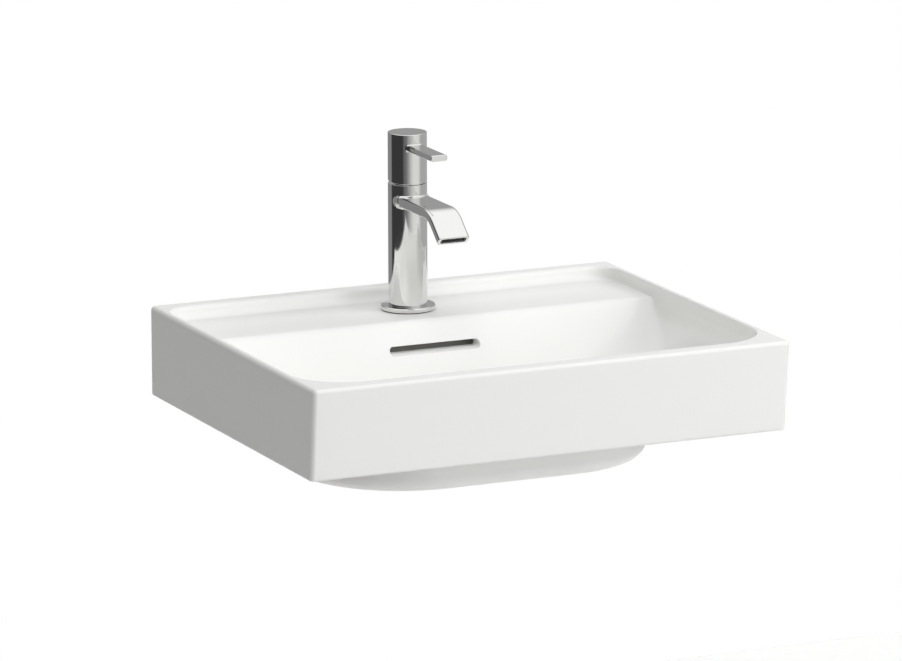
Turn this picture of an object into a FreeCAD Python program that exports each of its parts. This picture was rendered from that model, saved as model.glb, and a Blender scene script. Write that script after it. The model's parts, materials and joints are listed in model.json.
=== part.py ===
import FreeCAD, Part
import math
import os
from types import SimpleNamespace

import Sketcher

# Wall-hung washbasin with a single-lever mixer tap and a push-open waste.
# Millimetres. X runs along the wall, +Y into the wall, +Z up. The origin is midway between the two
# wall-bolt holes, on the plane of the wall.

doc = FreeCAD.newDocument("washbasin")

driving = {
    # ceramic basin, heights as drops below the rim
    "basin_width": 500,
    "basin_depth": 410,
    "apron_height": 90.3,
    "apron_front_lean": 9,
    "corner_round": 5,
    "rim_edge_round": 4,
    "lower_edge_round": 2.5,
    "side_rim": 7,
    "back_rim": 19,
    "front_rim": 18.5,
    "recess_back_round": 27,
    "recess_front_round": 55,
    "rim_inner_round": 2,
    "deck_depth": 13.5,
    "deck_thickness": 12,
    "deck_reach": 115,
    "deck_foot_round": 4,
    "bowl_depth": 104,
    "bowl_floor_half": 55,
    "bowl_floor_back": 180,
    "bowl_floor_front": 246,
    "shell": 11,
    "skirt_wall": 12,
    "back_wall": 18,
    "pan_half": 184,
    "pan_back": 82,
    "pan_front": 317,
    "pan_round": 116,
    "pan_drop": 136.5,
    "pan_top_drop": 84,
    "pan_edge_round": 13,
    "bolt_drop": 58,
    "bolt_spacing": 280,
    "bolt_hole_radius": 7,
    "cut_overrun": 5,
    # overflow
    "slot_width": 98,
    "slot_height": 9.5,
    "slot_drop": 40.2,
    "duct_headroom": 2,
    "duct_half": 50,
    "duct_gap": 13,
    "duct_inner_wall": 9,
    "duct_outer_wall": 7,
    "channel_top_drop": 112,
    "channel_height": 7.5,
    "channel_entry": 15,
    # drain hole
    "drain_setback": 215,
    "drain_hole_radius": 23,
    "seat_radius": 33,
    "seat_depth": 3,
    "nut_pocket_radius": 42,
    "nut_pocket_depth": 8,
    # tap on its deck, heights above the deck
    "tap_setback": 65,
    "tap_hole_radius": 17.5,
    "gasket_height": 1,
    "gasket_radius": 26,
    "flange_radius": 27.5,
    "flange_height": 4,
    "flange_chamfer": 0.8,
    "body_radius": 19.4,
    "body_top": 128,
    "body_chamfer": 0.4,
    "spigot_radius": 15,
    "chamber_radius": 14.4,
    "chamber_floor": 92,
    "inlet_radius": 4,
    "inlet_thread_radius": 4.5,
    "inlet_thread_length": 12,
    "inlet_spread": 8,
    "inlet_forward": 3,
    "outlet_pocket_half": 5,
    "thread_gap": 0.05,
    "fit_gap": 0.1,
    # spout
    "spout_half": 16.5,
    "spout_thickness": 10.3,
    "spout_top": 116.5,
    "spout_bend_reach": 86.6,
    "spout_tip_reach": 113.2,
    "spout_tip_drop": 22.9,
    "spout_bend_round": 35,
    "spout_edge_round": 3,
    "spout_lower_round": 1.5,
    "spout_wall": 3,
    "spout_channel_half": 12,
    "spigot_bore_radius": 2.9,
    "spout_spigot_radius": 4.5,
    "spout_spigot_length": 10,
    "mouth_half": 13.5,
    "mouth_wall": 1.9,
    "mouth_depth": 7.5,
    "aerator_inset": 0.6,
    "aerator_wall": 1.1,
    "aerator_length": 6,
    "aerator_plate": 3,
    "aerator_slot": 1.6,
    "aerator_seal_height": 0.8,
    # ceramic cartridge, heights above the deck
    "seal_height": 1.4,
    "seal_wall": 1.6,
    "cartridge_radius": 14.2,
    "cartridge_bore": 11.7,
    "cartridge_base_top": 104,
    "waist_low": 97,
    "waist_high": 101,
    "waist_radius": 12,
    "port_radius": 2.6,
    "port_spread": 6,
    "disc_radius": 11.5,
    "disc_height": 4,
    "disc_film": 0.05,
    "slider_radius": 8,
    "slider_height": 3.45,
    "slider_recess_radius": 5,
    "slider_recess_depth": 1.5,
    "carrier_radius": 8.2,
    "carrier_height": 4.5,
    "rotor_foot_low": 116.3,
    "rotor_foot_high": 119.3,
    "rotor_radius": 9.5,
    "rotor_top": 133,
    "rotor_slot_half": 3.2,
    "rotor_slot_reach": 7.5,
    "rotor_gap": 0.2,
    "housing_plate": 2,
    "pivot_radius": 1.5,
    "pivot_gap": 0.05,
    "ball_radius": 2.4,
    "ball_height": 114,
    "ball_gap": 0.2,
    "arm_radius": 1.8,
    "arm_top": 122,
    "spindle_half": 3,
    "spindle_shoulder": 137,
    "spindle_square": 8,
    "spindle_top": 158,
    "ring_nut_height": 6,
    "ring_nut_bore": 11.8,
    "cover_ring_bore": 12,
    "cover_ring_height": 2.9,
    # handle
    "head_top": 178.9,
    "head_front_gap": 0.4,
    "head_back_gap": 4.4,
    "head_bore": 17.5,
    "head_bore_top": 160,
    "hub_radius": 8,
    "hub_low": 142,
    "lever_half": 8.8,
    "lever_low": 162.5,
    "lever_thickness": 6.3,
    "lever_reach": 77,
    "lever_root": 4,
    "lever_round": 1.8,
    "grub_radius": 2.5,
    "grub_length": 6,
    "grub_rise": 8,
    "grub_key_half": 1.2,
    "grub_key_depth": 2.5,
    "screw_cap_radius": 2.9,
    # fixings under the deck
    "stud_radius": 4,
    "stud_back": 9,
    "stud_into_body": 15,
    "stud_end": 42,
    "stud_point": 1,
    "clamp_radius": 25,
    "clamp_slot_half": 14,
    "clamp_slot_back": 3,
    "clamp_gasket_height": 2,
    "clamp_washer_height": 3,
    "fixing_nut_corner": 7.5,
    "fixing_nut_height": 8,
    # waste, heights from its seat in the basin
    "waste_gasket_radius": 31,
    "waste_gasket_height": 1,
    "waste_flange_radius": 32,
    "waste_flange_height": 2.5,
    "waste_radius": 20.95,
    "waste_bore": 18,
    "waste_tail_radius": 20.4,
    "waste_tail_length": 14,
    "waste_end": 48,
    "waste_window_half": 7,
    "spider_low": 24,
    "spider_high": 18,
    "spider_hub_radius": 7,
    "spider_arm_half": 1.5,
    "lower_gasket_radius": 30,
    "lower_gasket_height": 3,
    "lower_washer_radius": 28,
    "lower_washer_height": 1.5,
    "waste_nut_corner": 30,
    "waste_nut_height": 8,
    "click_radius": 5,
    "click_bore": 3.5,
    "click_bottom": 30,
    "click_top": 6,
    "click_collar_radius": 7,
    "click_collar_height": 2,
    "click_wall": 1,
    "stem_radius": 3.4,
    "stem_low": 20,
    "spring_wall": 0.8,
    "plug_seal_radius": 28,
    "plug_seal_bore": 22,
    "plug_seal_height": 1.5,
    "plug_radius": 31.5,
    "plug_edge_height": 2.5,
    "plug_dome_height": 2.5,
    "plug_boss_radius": 6,
    "plug_boss_length": 9,
}

sheet = doc.addObject("Spreadsheet::Sheet", "Sizes")
for row, (alias, millimetres) in enumerate(driving.items(), 1):
    sheet.set("A%d" % row, alias)
    sheet.set("B%d" % row, str(millimetres))
    sheet.setAlias("B%d" % row, alias)
doc.recompute()


class Size:
    # A length that knows its number and the sheet expression that it comes from.
    def __init__(self, number, text):
        self.number = number
        self.text = text

    def __add__(self, other):
        other = sized(other)
        return Size(self.number + other.number, "(%s + %s)" % (self.text, other.text))

    def __sub__(self, other):
        other = sized(other)
        return Size(self.number - other.number, "(%s - %s)" % (self.text, other.text))

    def __mul__(self, other):
        other = sized(other)
        return Size(self.number * other.number, "(%s * %s)" % (self.text, other.text))

    def __truediv__(self, other):
        other = sized(other)
        return Size(self.number / other.number, "(%s / %s)" % (self.text, other.text))

    def __neg__(self):
        return Size(-self.number, "(0 - %s)" % self.text)

    __radd__ = __add__
    __rmul__ = __mul__

    def __rsub__(self, other):
        return sized(other) - self


def sized(value):
    return value if isinstance(value, Size) else Size(float(value), repr(float(value)))


def diagonal(first, second):
    return Size(math.hypot(first.number, second.number), "sqrt(%s^2 + %s^2)" % (first.text, second.text))


s = SimpleNamespace(**{alias: Size(float(v), "Sizes.%s" % alias) for alias, v in driving.items()})
zero = Size(0.0, "0")
nodes = []


# Shared builders

def plane(body, role):
    return next(part for part in body.Origin.OriginFeatures if part.Role == role)


def new_sketch(body, name, role, offset=zero):
    sketch = body.newObject("Sketcher::SketchObject", name)
    sketch.AttachmentSupport = [(plane(body, role), "")]
    sketch.MapMode = "FlatFace"
    sketch.setExpression("AttachmentOffset.Base.z", offset.text)
    return sketch


def bind(sketch, kind, geometry, point, value, name):
    # Measures a point from the sketch's origin, either way round, because a length stays positive.
    if value.number < 0:
        index = sketch.addConstraint(Sketcher.Constraint(kind, geometry, point, -1, 1, -value.number))
        text = (-value).text
    else:
        index = sketch.addConstraint(Sketcher.Constraint(kind, -1, 1, geometry, point, value.number))
        text = value.text
    sketch.renameConstraint(index, name)
    sketch.setExpression("Constraints." + name, text)


def rounded_outline(body, name, role, offset, half, upper, lower, upper_round, lower_round):
    # A rectangle, symmetric left to right, with two upper and two lower corner radii.
    sketch = new_sketch(body, name, role, offset)
    w, u, l = half.number, upper.number, lower.number
    ru, rl = upper_round.number, lower_round.number

    def spot(x, y):
        return FreeCAD.Vector(x, y, 0)

    def arc(x, y, radius, start, end):
        circle = Part.Circle(spot(x, y), FreeCAD.Vector(0, 0, 1), radius)
        return Part.ArcOfCircle(circle, math.radians(start), math.radians(end))

    sketch.addGeometry([
        Part.LineSegment(spot(w - ru, u), spot(ru - w, u)),
        arc(ru - w, u - ru, ru, 90, 180),
        Part.LineSegment(spot(-w, u - ru), spot(-w, l + rl)),
        arc(rl - w, l + rl, rl, 180, 270),
        Part.LineSegment(spot(rl - w, l), spot(w - rl, l)),
        arc(w - rl, l + rl, rl, 270, 360),
        Part.LineSegment(spot(w, l + rl), spot(w, u - ru)),
        arc(w - ru, u - ru, ru, 0, 90),
    ])
    for first in range(8):
        sketch.addConstraint(Sketcher.Constraint("Tangent", first, 2, (first + 1) % 8, 1))
    sketch.addConstraint(Sketcher.Constraint("Horizontal", 0))
    sketch.addConstraint(Sketcher.Constraint("Vertical", 2))
    sketch.addConstraint(Sketcher.Constraint("Equal", 1, 7))
    sketch.addConstraint(Sketcher.Constraint("Equal", 3, 5))
    for edge, radius, title in ((7, upper_round, "upper_round"), (5, lower_round, "lower_round")):
        index = sketch.addConstraint(Sketcher.Constraint("Radius", edge, radius.number))
        sketch.renameConstraint(index, title)
        sketch.setExpression("Constraints." + title, radius.text)
    bind(sketch, "DistanceX", 6, 1, half, "right")
    bind(sketch, "DistanceX", 2, 1, -half, "left")
    bind(sketch, "DistanceY", 0, 1, upper, "upper")
    bind(sketch, "DistanceY", 4, 1, lower, "lower")
    return sketch


def polygon(body, name, role, points, offset=zero):
    sketch = new_sketch(body, name, role, offset)
    spots = [FreeCAD.Vector(x.number, y.number, 0) for x, y in points]
    count = len(points)
    sketch.addGeometry([Part.LineSegment(spots[i], spots[(i + 1) % count]) for i in range(count)])
    for i in range(count):
        sketch.addConstraint(Sketcher.Constraint("Coincident", i, 2, (i + 1) % count, 1))
    for i, (x, y) in enumerate(points):
        bind(sketch, "DistanceX", i, 1, x, "x%d" % i)
        bind(sketch, "DistanceY", i, 1, y, "y%d" % i)
    return sketch


def circles(body, name, role, radius, centres, offset=zero):
    sketch = new_sketch(body, name, role, offset)
    for i, (x, y) in enumerate(centres):
        middle = FreeCAD.Vector(x.number, y.number, 0)
        sketch.addGeometry(Part.Circle(middle, FreeCAD.Vector(0, 0, 1), radius.number))
        index = sketch.addConstraint(Sketcher.Constraint("Radius", i, radius.number))
        sketch.renameConstraint(index, "radius%d" % i)
        sketch.setExpression("Constraints.radius%d" % i, radius.text)
        bind(sketch, "DistanceX", i, 3, x, "x%d" % i)
        bind(sketch, "DistanceY", i, 3, y, "y%d" % i)
    return sketch


def extrude(body, kind, name, sketch, length, way="One side", backwards=False):
    feature = body.newObject("PartDesign::" + kind, name)
    feature.Profile = sketch
    feature.SideType = way
    feature.Reversed = backwards
    feature.setExpression("Length", length.text)
    doc.recompute()
    return feature


def loft(body, kind, name, sketches):
    feature = body.newObject("PartDesign::" + kind, name)
    feature.Profile = sketches[0]
    feature.Sections = [(sketch, [""]) for sketch in sketches[1:]]
    doc.recompute()
    return feature


def fillet(body, name, chosen, radius):
    # Rounds those edges of the body's last feature whose middle the test accepts.
    tip = body.Tip
    names = []
    for number, edge in enumerate(tip.Shape.Edges, 1):
        middle = edge.valueAt((edge.FirstParameter + edge.LastParameter) / 2)
        if chosen(edge, middle):
            names.append("Edge%d" % number)
    feature = body.newObject("PartDesign::Fillet", name)
    feature.Base = (tip, names)
    feature.setExpression("Radius", radius.text)
    doc.recompute()
    return feature


def near(first, second):
    return abs(first - second) < same_place


# Two places count as the same one below this distance in millimetres.
same_place = 0.05


def place(obj, x=zero, y=zero, z=zero):
    obj.setExpression("Placement.Base.x", x.text)
    obj.setExpression("Placement.Base.y", y.text)
    obj.setExpression("Placement.Base.z", z.text)
    return obj


turned = {
    "z": FreeCAD.Rotation(),
    "x": FreeCAD.Rotation(FreeCAD.Vector(0, 1, 0), 90),
    "y": FreeCAD.Rotation(FreeCAD.Vector(1, 0, 0), -90),
}


def cylinder(radius, height, z=zero, x=zero, y=zero, along="z"):
    obj = doc.addObject("Part::Cylinder", "cylinder")
    obj.setExpression("Radius", radius.text)
    obj.setExpression("Height", height.text)
    obj.Placement.Rotation = turned[along]
    return place(obj, x, y, z)


def cone(low_radius, high_radius, height, z=zero):
    obj = doc.addObject("Part::Cone", "cone")
    obj.setExpression("Radius1", low_radius.text)
    obj.setExpression("Radius2", high_radius.text)
    obj.setExpression("Height", height.text)
    return place(obj, z=z)


def block(half, back, front, low, high, x=zero):
    # A box across the middle: back and front are places along Y, low and high along Z.
    obj = doc.addObject("Part::Box", "block")
    obj.setExpression("Length", (half * 2).text)
    obj.setExpression("Width", (back - front).text)
    obj.setExpression("Height", (high - low).text)
    return place(obj, x - half, front, low)


def sphere(radius, z=zero):
    obj = doc.addObject("Part::Sphere", "sphere")
    obj.setExpression("Radius", radius.text)
    return place(obj, z=z)


def hexagon(corner, height, z=zero, y=zero):
    obj = doc.addObject("Part::Prism", "hexagon")
    obj.Polygon = 6
    obj.setExpression("Circumradius", corner.text)
    obj.setExpression("Height", height.text)
    return place(obj, y=y, z=z)


def fuse(*shapes):
    obj = doc.addObject("Part::MultiFuse", "joined")
    obj.Shapes = list(shapes)
    return obj


def cut(base, *tools):
    obj = doc.addObject("Part::Cut", "cut")
    obj.Base = base
    obj.Tool = tools[0] if len(tools) == 1 else fuse(*tools)
    return obj


def common(first, second):
    obj = doc.addObject("Part::Common", "common")
    obj.Base = first
    obj.Tool = second
    return obj


def ring(outer, inner, low, high):
    return cut(cylinder(outer, high - low, low), cylinder(inner, high - low, low))


def finish(obj, node, y=zero, z=zero):
    obj.Label = node
    place(obj, y=y, z=z)
    nodes.append(obj)


def on_basin(obj, node):
    finish(obj, node, z=s.bolt_drop)


def on_deck(obj, node):
    finish(obj, node, y=-s.tap_setback, z=s.bolt_drop - s.deck_depth)


def on_seat(obj, node):
    finish(obj, node, y=-s.drain_setback, z=s.bolt_drop - s.bowl_depth - s.seat_depth)


# Ceramic basin, drawn with the rim at zero height

# Shares of the way from the bowl's mouth to its floor: drop, half width, back edge, front edge. The
# last two are the back and front corner radii as shares of the section's length front to back.
bowl_section_shares = [
    (0.000, 0.000, 0.000, 0.000, 0.036, 0.199),
    (0.204, 0.013, 0.169, 0.018, 0.099, 0.236),
    (0.403, 0.074, 0.331, 0.102, 0.191, 0.316),
    (0.580, 0.202, 0.477, 0.291, 0.304, 0.441),
    (0.724, 0.378, 0.600, 0.537, 0.410, 0.485),
    (0.845, 0.601, 0.723, 0.747, 0.470, 0.488),
    (0.934, 0.814, 0.831, 0.909, 0.473, 0.490),
    (0.978, 0.940, 0.930, 0.982, 0.475, 0.490),
    (1.000, 1.000, 1.000, 1.000, 0.480, 0.490),
]
# How far the underside of each of the first five sections lies outward and down, in shell thicknesses.
shell_offset_shares = [(0.30, 0.90), (0.50, 0.50), (0.90, 0.50), (0.85, 0.60), (0.80, 0.70)]
rear_wall_lean_share = 0.595
slot_round_share = 0.499


def between(start, end, share):
    return start + (end - start) * share


def bowl_section(shares):
    drop, half, back, front, back_round, front_round = shares
    mouth_half = s.basin_width / 2 - s.side_rim
    mouth_front = s.basin_depth - s.front_rim
    section = SimpleNamespace()
    section.drop = between(s.deck_depth, s.bowl_depth, drop)
    section.half = between(mouth_half, s.bowl_floor_half, half)
    section.back = between(s.deck_reach, s.bowl_floor_back, back)
    section.front = between(mouth_front, s.bowl_floor_front, front)
    section.back_round = (section.front - section.back) * back_round
    section.front_round = (section.front - section.back) * front_round
    return section


def rear_wall(drop):
    # Distance of the bowl's rear wall from the room wall at a drop below the rim.
    return s.deck_reach + (drop - s.deck_depth) * rear_wall_lean_share


def duct_outline(body, name, wall, top_drop, low_drop):
    # The overflow duct's side view, grown by a wall; it follows the slope of the bowl's rear wall.
    inner = s.duct_inner_wall - wall
    outer = s.duct_inner_wall + s.duct_gap + wall
    return polygon(body, name, "YZ_Plane", [
        (inner - rear_wall(top_drop), -top_drop),
        (outer - rear_wall(top_drop), -top_drop),
        (outer - rear_wall(low_drop), -low_drop),
        (inner - rear_wall(low_drop), -low_drop),
    ])


def make_basin():
    body = doc.addObject("PartDesign::Body", "basin")
    half = s.basin_width / 2
    side = polygon(body, "side_outline", "YZ_Plane", [
        (zero, zero), (-s.basin_depth, zero), (s.apron_front_lean - s.basin_depth, -s.apron_height),
        (zero, -s.apron_height)])
    extrude(body, "Pad", "apron", side, s.basin_width, "Symmetric")
    middle = -s.apron_height.number / 2
    fillet(body, "upright_corners", lambda edge, m: near(abs(m.x), half.number) and near(m.z, middle),
           s.corner_round)
    fillet(body, "rim_edge", lambda edge, m: near(m.z, 0), s.rim_edge_round)
    fillet(body, "apron_lower_edge", lambda edge, m: near(m.z, -s.apron_height.number), s.lower_edge_round)

    hollow = rounded_outline(body, "hollow_outline", "XY_Plane", -s.apron_height - s.cut_overrun,
                             half - s.skirt_wall, -s.back_wall, s.skirt_wall - s.basin_depth,
                             s.skirt_wall, s.skirt_wall)
    extrude(body, "Pocket", "underside_hollow", hollow,
            s.apron_height + s.cut_overrun - s.deck_depth - s.deck_thickness, backwards=True)

    sections = [bowl_section(shares) for shares in bowl_section_shares]
    shell_sketches = []
    for number, (section, (out_share, down_share)) in enumerate(zip(sections, shell_offset_shares)):
        out = s.shell * out_share
        shell_sketches.append(rounded_outline(
            body, "shell_%d" % number, "XY_Plane", -section.drop - s.shell * down_share,
            section.half + out, out - section.back, -section.front - out,
            section.back_round + out, section.front_round + out))
    loft(body, "AdditiveLoft", "bowl_shell", shell_sketches)

    pan = rounded_outline(body, "pan_outline", "XY_Plane", -s.pan_drop, s.pan_half, -s.pan_back,
                          -s.pan_front, s.pan_round, s.pan_round)
    extrude(body, "Pad", "pan", pan, s.pan_drop - s.pan_top_drop)
    fillet(body, "pan_edge", lambda edge, m: near(m.z, -s.pan_drop.number), s.pan_edge_round)

    duct_half = s.duct_half + s.duct_outer_wall
    casing = duct_outline(body, "duct_casing_outline", s.duct_outer_wall,
                          s.deck_depth + s.deck_thickness / 2, s.pan_top_drop + s.shell)
    extrude(body, "Pad", "duct_casing", casing, duct_half * 2, "Symmetric")

    recess = rounded_outline(body, "recess_outline", "XY_Plane", zero, half - s.side_rim, -s.back_rim,
                             s.front_rim - s.basin_depth, s.recess_back_round, s.recess_front_round)
    extrude(body, "Pocket", "recess", recess, s.deck_depth)
    recess_side = half - s.side_rim + s.fit_gap
    recess_front = s.front_rim - s.basin_depth - s.fit_gap

    def on_recess_wall(m):
        return abs(m.x) < recess_side.number and recess_front.number < m.y < (s.fit_gap - s.back_rim).number

    fillet(body, "rim_inner_edge", lambda edge, m: near(m.z, 0) and on_recess_wall(m), s.rim_inner_round)
    fillet(body, "deck_foot", lambda edge, m: near(m.z, -s.deck_depth.number), s.deck_foot_round)
    first = sections[0]
    mouth = rounded_outline(body, "bowl_mouth_outline", "XY_Plane", zero, first.half, -first.back,
                            -first.front, first.back_round, first.front_round)
    extrude(body, "Pocket", "bowl_mouth", mouth, s.deck_depth)

    bowl_sketches = [
        rounded_outline(body, "bowl_%d" % number, "XY_Plane", -section.drop, section.half,
                        -section.back, -section.front, section.back_round, section.front_round)
        for number, section in enumerate(sections)]
    loft(body, "SubtractiveLoft", "bowl", bowl_sketches)

    duct_top = s.slot_drop - s.slot_height / 2 - s.duct_headroom
    channel_bottom = s.channel_top_drop + s.channel_height
    duct = duct_outline(body, "duct_outline", zero, duct_top, channel_bottom)
    extrude(body, "Pocket", "overflow_duct", duct, s.duct_half * 2, "Symmetric")
    channel_back = s.duct_inner_wall - rear_wall(channel_bottom) + s.duct_gap
    channel_front = s.channel_entry - s.drain_setback
    channel = polygon(body, "channel_outline", "YZ_Plane", [
        (channel_back, -s.channel_top_drop), (channel_front, -s.channel_top_drop),
        (channel_front, -channel_bottom), (channel_back, -channel_bottom)])
    extrude(body, "Pocket", "overflow_channel", channel, s.duct_half * 2, "Symmetric")

    slot_middle = rear_wall(s.slot_drop)
    slot = rounded_outline(body, "slot_outline", "XZ_Plane", slot_middle + s.duct_gap,
                           s.slot_width / 2, s.slot_height / 2 - s.slot_drop,
                           -s.slot_height / 2 - s.slot_drop, s.slot_height * slot_round_share,
                           s.slot_height * slot_round_share)
    extrude(body, "Pocket", "overflow_slot", slot, s.duct_inner_wall + s.duct_gap * 1.5)

    tap_hole = circles(body, "tap_hole_circle", "XY_Plane", s.tap_hole_radius, [(zero, -s.tap_setback)])
    extrude(body, "Pocket", "tap_hole", tap_hole, s.deck_depth + s.deck_thickness + s.cut_overrun)

    drain = (zero, -s.drain_setback)
    seat = circles(body, "seat_circle", "XY_Plane", s.seat_radius, [drain])
    extrude(body, "Pocket", "drain_seat", seat, s.bowl_depth + s.seat_depth)
    hole = circles(body, "drain_circle", "XY_Plane", s.drain_hole_radius, [drain])
    extrude(body, "Pocket", "drain_hole", hole, s.pan_drop + s.cut_overrun)
    nut_pocket = circles(body, "nut_pocket_circle", "XY_Plane", s.nut_pocket_radius, [drain],
                         -s.pan_drop - s.cut_overrun)
    extrude(body, "Pocket", "nut_pocket", nut_pocket, s.nut_pocket_depth + s.cut_overrun, backwards=True)

    bolts = circles(body, "bolt_circles", "XZ_Plane", s.bolt_hole_radius,
                    [(s.bolt_spacing / 2, -s.bolt_drop), (-s.bolt_spacing / 2, -s.bolt_drop)],
                    -s.cut_overrun)
    extrude(body, "Pocket", "wall_bolt_holes", bolts, s.back_wall + s.cut_overrun * 2, backwards=True)
    on_basin(body, "basin")


# Tap, drawn with the deck at zero height and its axis at zero

body_foot = s.gasket_height + s.flange_height


def make_base():
    on_deck(ring(s.gasket_radius, s.tap_hole_radius, zero, s.gasket_height), "tap_base_gasket")
    straight = s.flange_height - s.flange_chamfer
    disc = fuse(cylinder(s.flange_radius, straight, s.gasket_height),
                cone(s.flange_radius, s.flange_radius - s.flange_chamfer, s.flange_chamfer,
                     s.gasket_height + straight))
    bore = cylinder(s.spigot_radius + s.fit_gap, body_foot + s.cut_overrun)
    on_deck(cut(disc, bore), "tap_base_flange")


def make_tap_body():
    straight = s.body_top - body_foot - s.body_chamfer
    column = fuse(cylinder(s.spigot_radius, s.flange_height, s.gasket_height),
                  cylinder(s.body_radius, straight, body_foot),
                  cone(s.body_radius, s.body_radius - s.body_chamfer, s.body_chamfer, body_foot + straight))
    passages = [cylinder(s.chamber_radius, s.body_top + s.cut_overrun - s.chamber_floor, s.chamber_floor)]
    inlet_y = -s.inlet_forward
    for side in (s.inlet_spread, -s.inlet_spread):
        passages.append(cylinder(s.inlet_radius, s.chamber_floor + s.cut_overrun, zero, side, inlet_y))
        passages.append(cylinder(s.inlet_thread_radius, s.inlet_thread_length + s.gasket_height, zero,
                                 side, inlet_y))
    passages.append(cylinder(s.stud_radius + s.thread_gap, s.stud_into_body + s.gasket_height, zero,
                             zero, s.stud_back))
    spout_middle = s.spout_top - s.spout_thickness / 2
    passages.append(cylinder(s.spout_spigot_radius + s.thread_gap, s.body_radius, spout_middle, zero,
                             -s.body_radius, "y"))
    passages.append(block(s.outlet_pocket_half, zero, -s.chamber_radius - s.waist_radius / 4,
                          s.waist_low, spout_middle))
    on_deck(cut(column, *passages), "tap_body")


# Spout: a flat band that runs level from the body and bends down to its tip

spout_run = s.spout_tip_reach - s.spout_bend_reach
spout_slope = diagonal(spout_run, s.spout_tip_drop)


def spout_corner(inward):
    # Where the level run and the sloped run meet, at a depth below the band's top face.
    height = s.spout_top - inward
    edge = spout_tip(inward)
    return (edge[0] + (height - edge[1]) * spout_run / s.spout_tip_drop, height)


def spout_tip(inward, back=zero):
    # A point of the tip's end face, or of a plane parallel to it further back in the band.
    along = spout_run / spout_slope
    down = s.spout_tip_drop / spout_slope
    return (inward * down + back * along - s.spout_tip_reach,
            s.spout_top - s.spout_tip_drop - inward * along + back * down)


def spout_outline(body, name, upper, lower, root, beyond):
    return polygon(body, name, "YZ_Plane", [
        (-root, s.spout_top - upper), spout_corner(upper), spout_tip(upper, -beyond),
        spout_tip(lower, -beyond), spout_corner(lower), (-root, s.spout_top - lower)])


def make_spout():
    body = doc.addObject("PartDesign::Body", "tap_spout")
    band = spout_outline(body, "band_outline", zero, s.spout_thickness, s.chamber_radius, zero)
    extrude(body, "Pad", "band", band, s.spout_half * 2, "Symmetric")
    upper_bend = spout_corner(zero)
    lower_bend = spout_corner(s.spout_thickness)

    def at_bend(bend):
        return lambda edge, m: near(m.y, bend[0].number) and near(m.z, bend[1].number)

    fillet(body, "upper_bend", at_bend(upper_bend), s.spout_bend_round)
    fillet(body, "lower_bend", at_bend(lower_bend), s.spout_bend_round - s.spout_thickness)

    def side_edge(lower):
        # The long edges at both sides; the lower ones lie a band's thickness under the upper ones.
        def test(edge, m):
            lengthwise = edge.Length > (s.spout_thickness + s.spout_edge_round).number
            if not near(abs(m.x), s.spout_half.number) or not lengthwise:
                return False
            band_middle = s.spout_top.number - s.spout_thickness.number / 2
            bend_y = (upper_bend[0].number + lower_bend[0].number) / 2
            slope = s.spout_tip_drop.number / spout_run.number
            middle = band_middle - max(0, bend_y - m.y) * slope
            return (m.z < middle) == lower
        return test

    fillet(body, "upper_side_edges", side_edge(False), s.spout_edge_round)
    fillet(body, "lower_side_edges", side_edge(True), s.spout_lower_round)

    socket = circles(body, "body_circle", "XY_Plane", s.body_radius, [(zero, zero)])
    extrude(body, "Pocket", "body_seat", socket, s.body_top, backwards=True)
    spout_middle = s.spout_top - s.spout_thickness / 2
    spigot = circles(body, "spigot_circle", "XZ_Plane", s.spout_spigot_radius, [(zero, spout_middle)],
                     s.chamber_radius + s.fit_gap)
    extrude(body, "Pad", "spigot", spigot, s.spout_spigot_length)
    channel = spout_outline(body, "channel_outline", s.spout_wall, s.spout_thickness - s.spout_wall,
                            s.body_radius + s.spout_wall, s.cut_overrun)
    extrude(body, "Pocket", "waterway", channel, s.spout_channel_half * 2, "Symmetric")
    bore = circles(body, "spigot_bore_circle", "XZ_Plane", s.spigot_bore_radius, [(zero, spout_middle)],
                   s.body_radius / 2)
    extrude(body, "Pocket", "spigot_bore", bore, s.body_radius, backwards=True)
    mouth_lower = s.spout_thickness - s.mouth_wall
    mouth = polygon(body, "mouth_outline", "YZ_Plane", [
        spout_tip(s.mouth_wall, -s.cut_overrun), spout_tip(s.mouth_wall, s.mouth_depth),
        spout_tip(mouth_lower, s.mouth_depth), spout_tip(mouth_lower, -s.cut_overrun)])
    extrude(body, "Pocket", "mouth", mouth, s.mouth_half * 2, "Symmetric")
    on_deck(body, "tap_spout")


def in_mouth(obj, node):
    # Turns a piece drawn upright so that its height runs back into the mouth from the tip's end face.
    middle = spout_tip(s.spout_thickness / 2)
    obj.Label = node
    obj.Placement.Rotation = FreeCAD.Rotation(FreeCAD.Vector(1, 0, 0), 1)
    obj.setExpression("Placement.Rotation.Angle",
                      "-1 * atan2(%s; %s)" % (spout_run.text, s.spout_tip_drop.text))
    place(obj, y=middle[0] - s.tap_setback, z=middle[1] + s.bolt_drop - s.deck_depth)
    nodes.append(obj)


aerator_slot_count = 6


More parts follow.
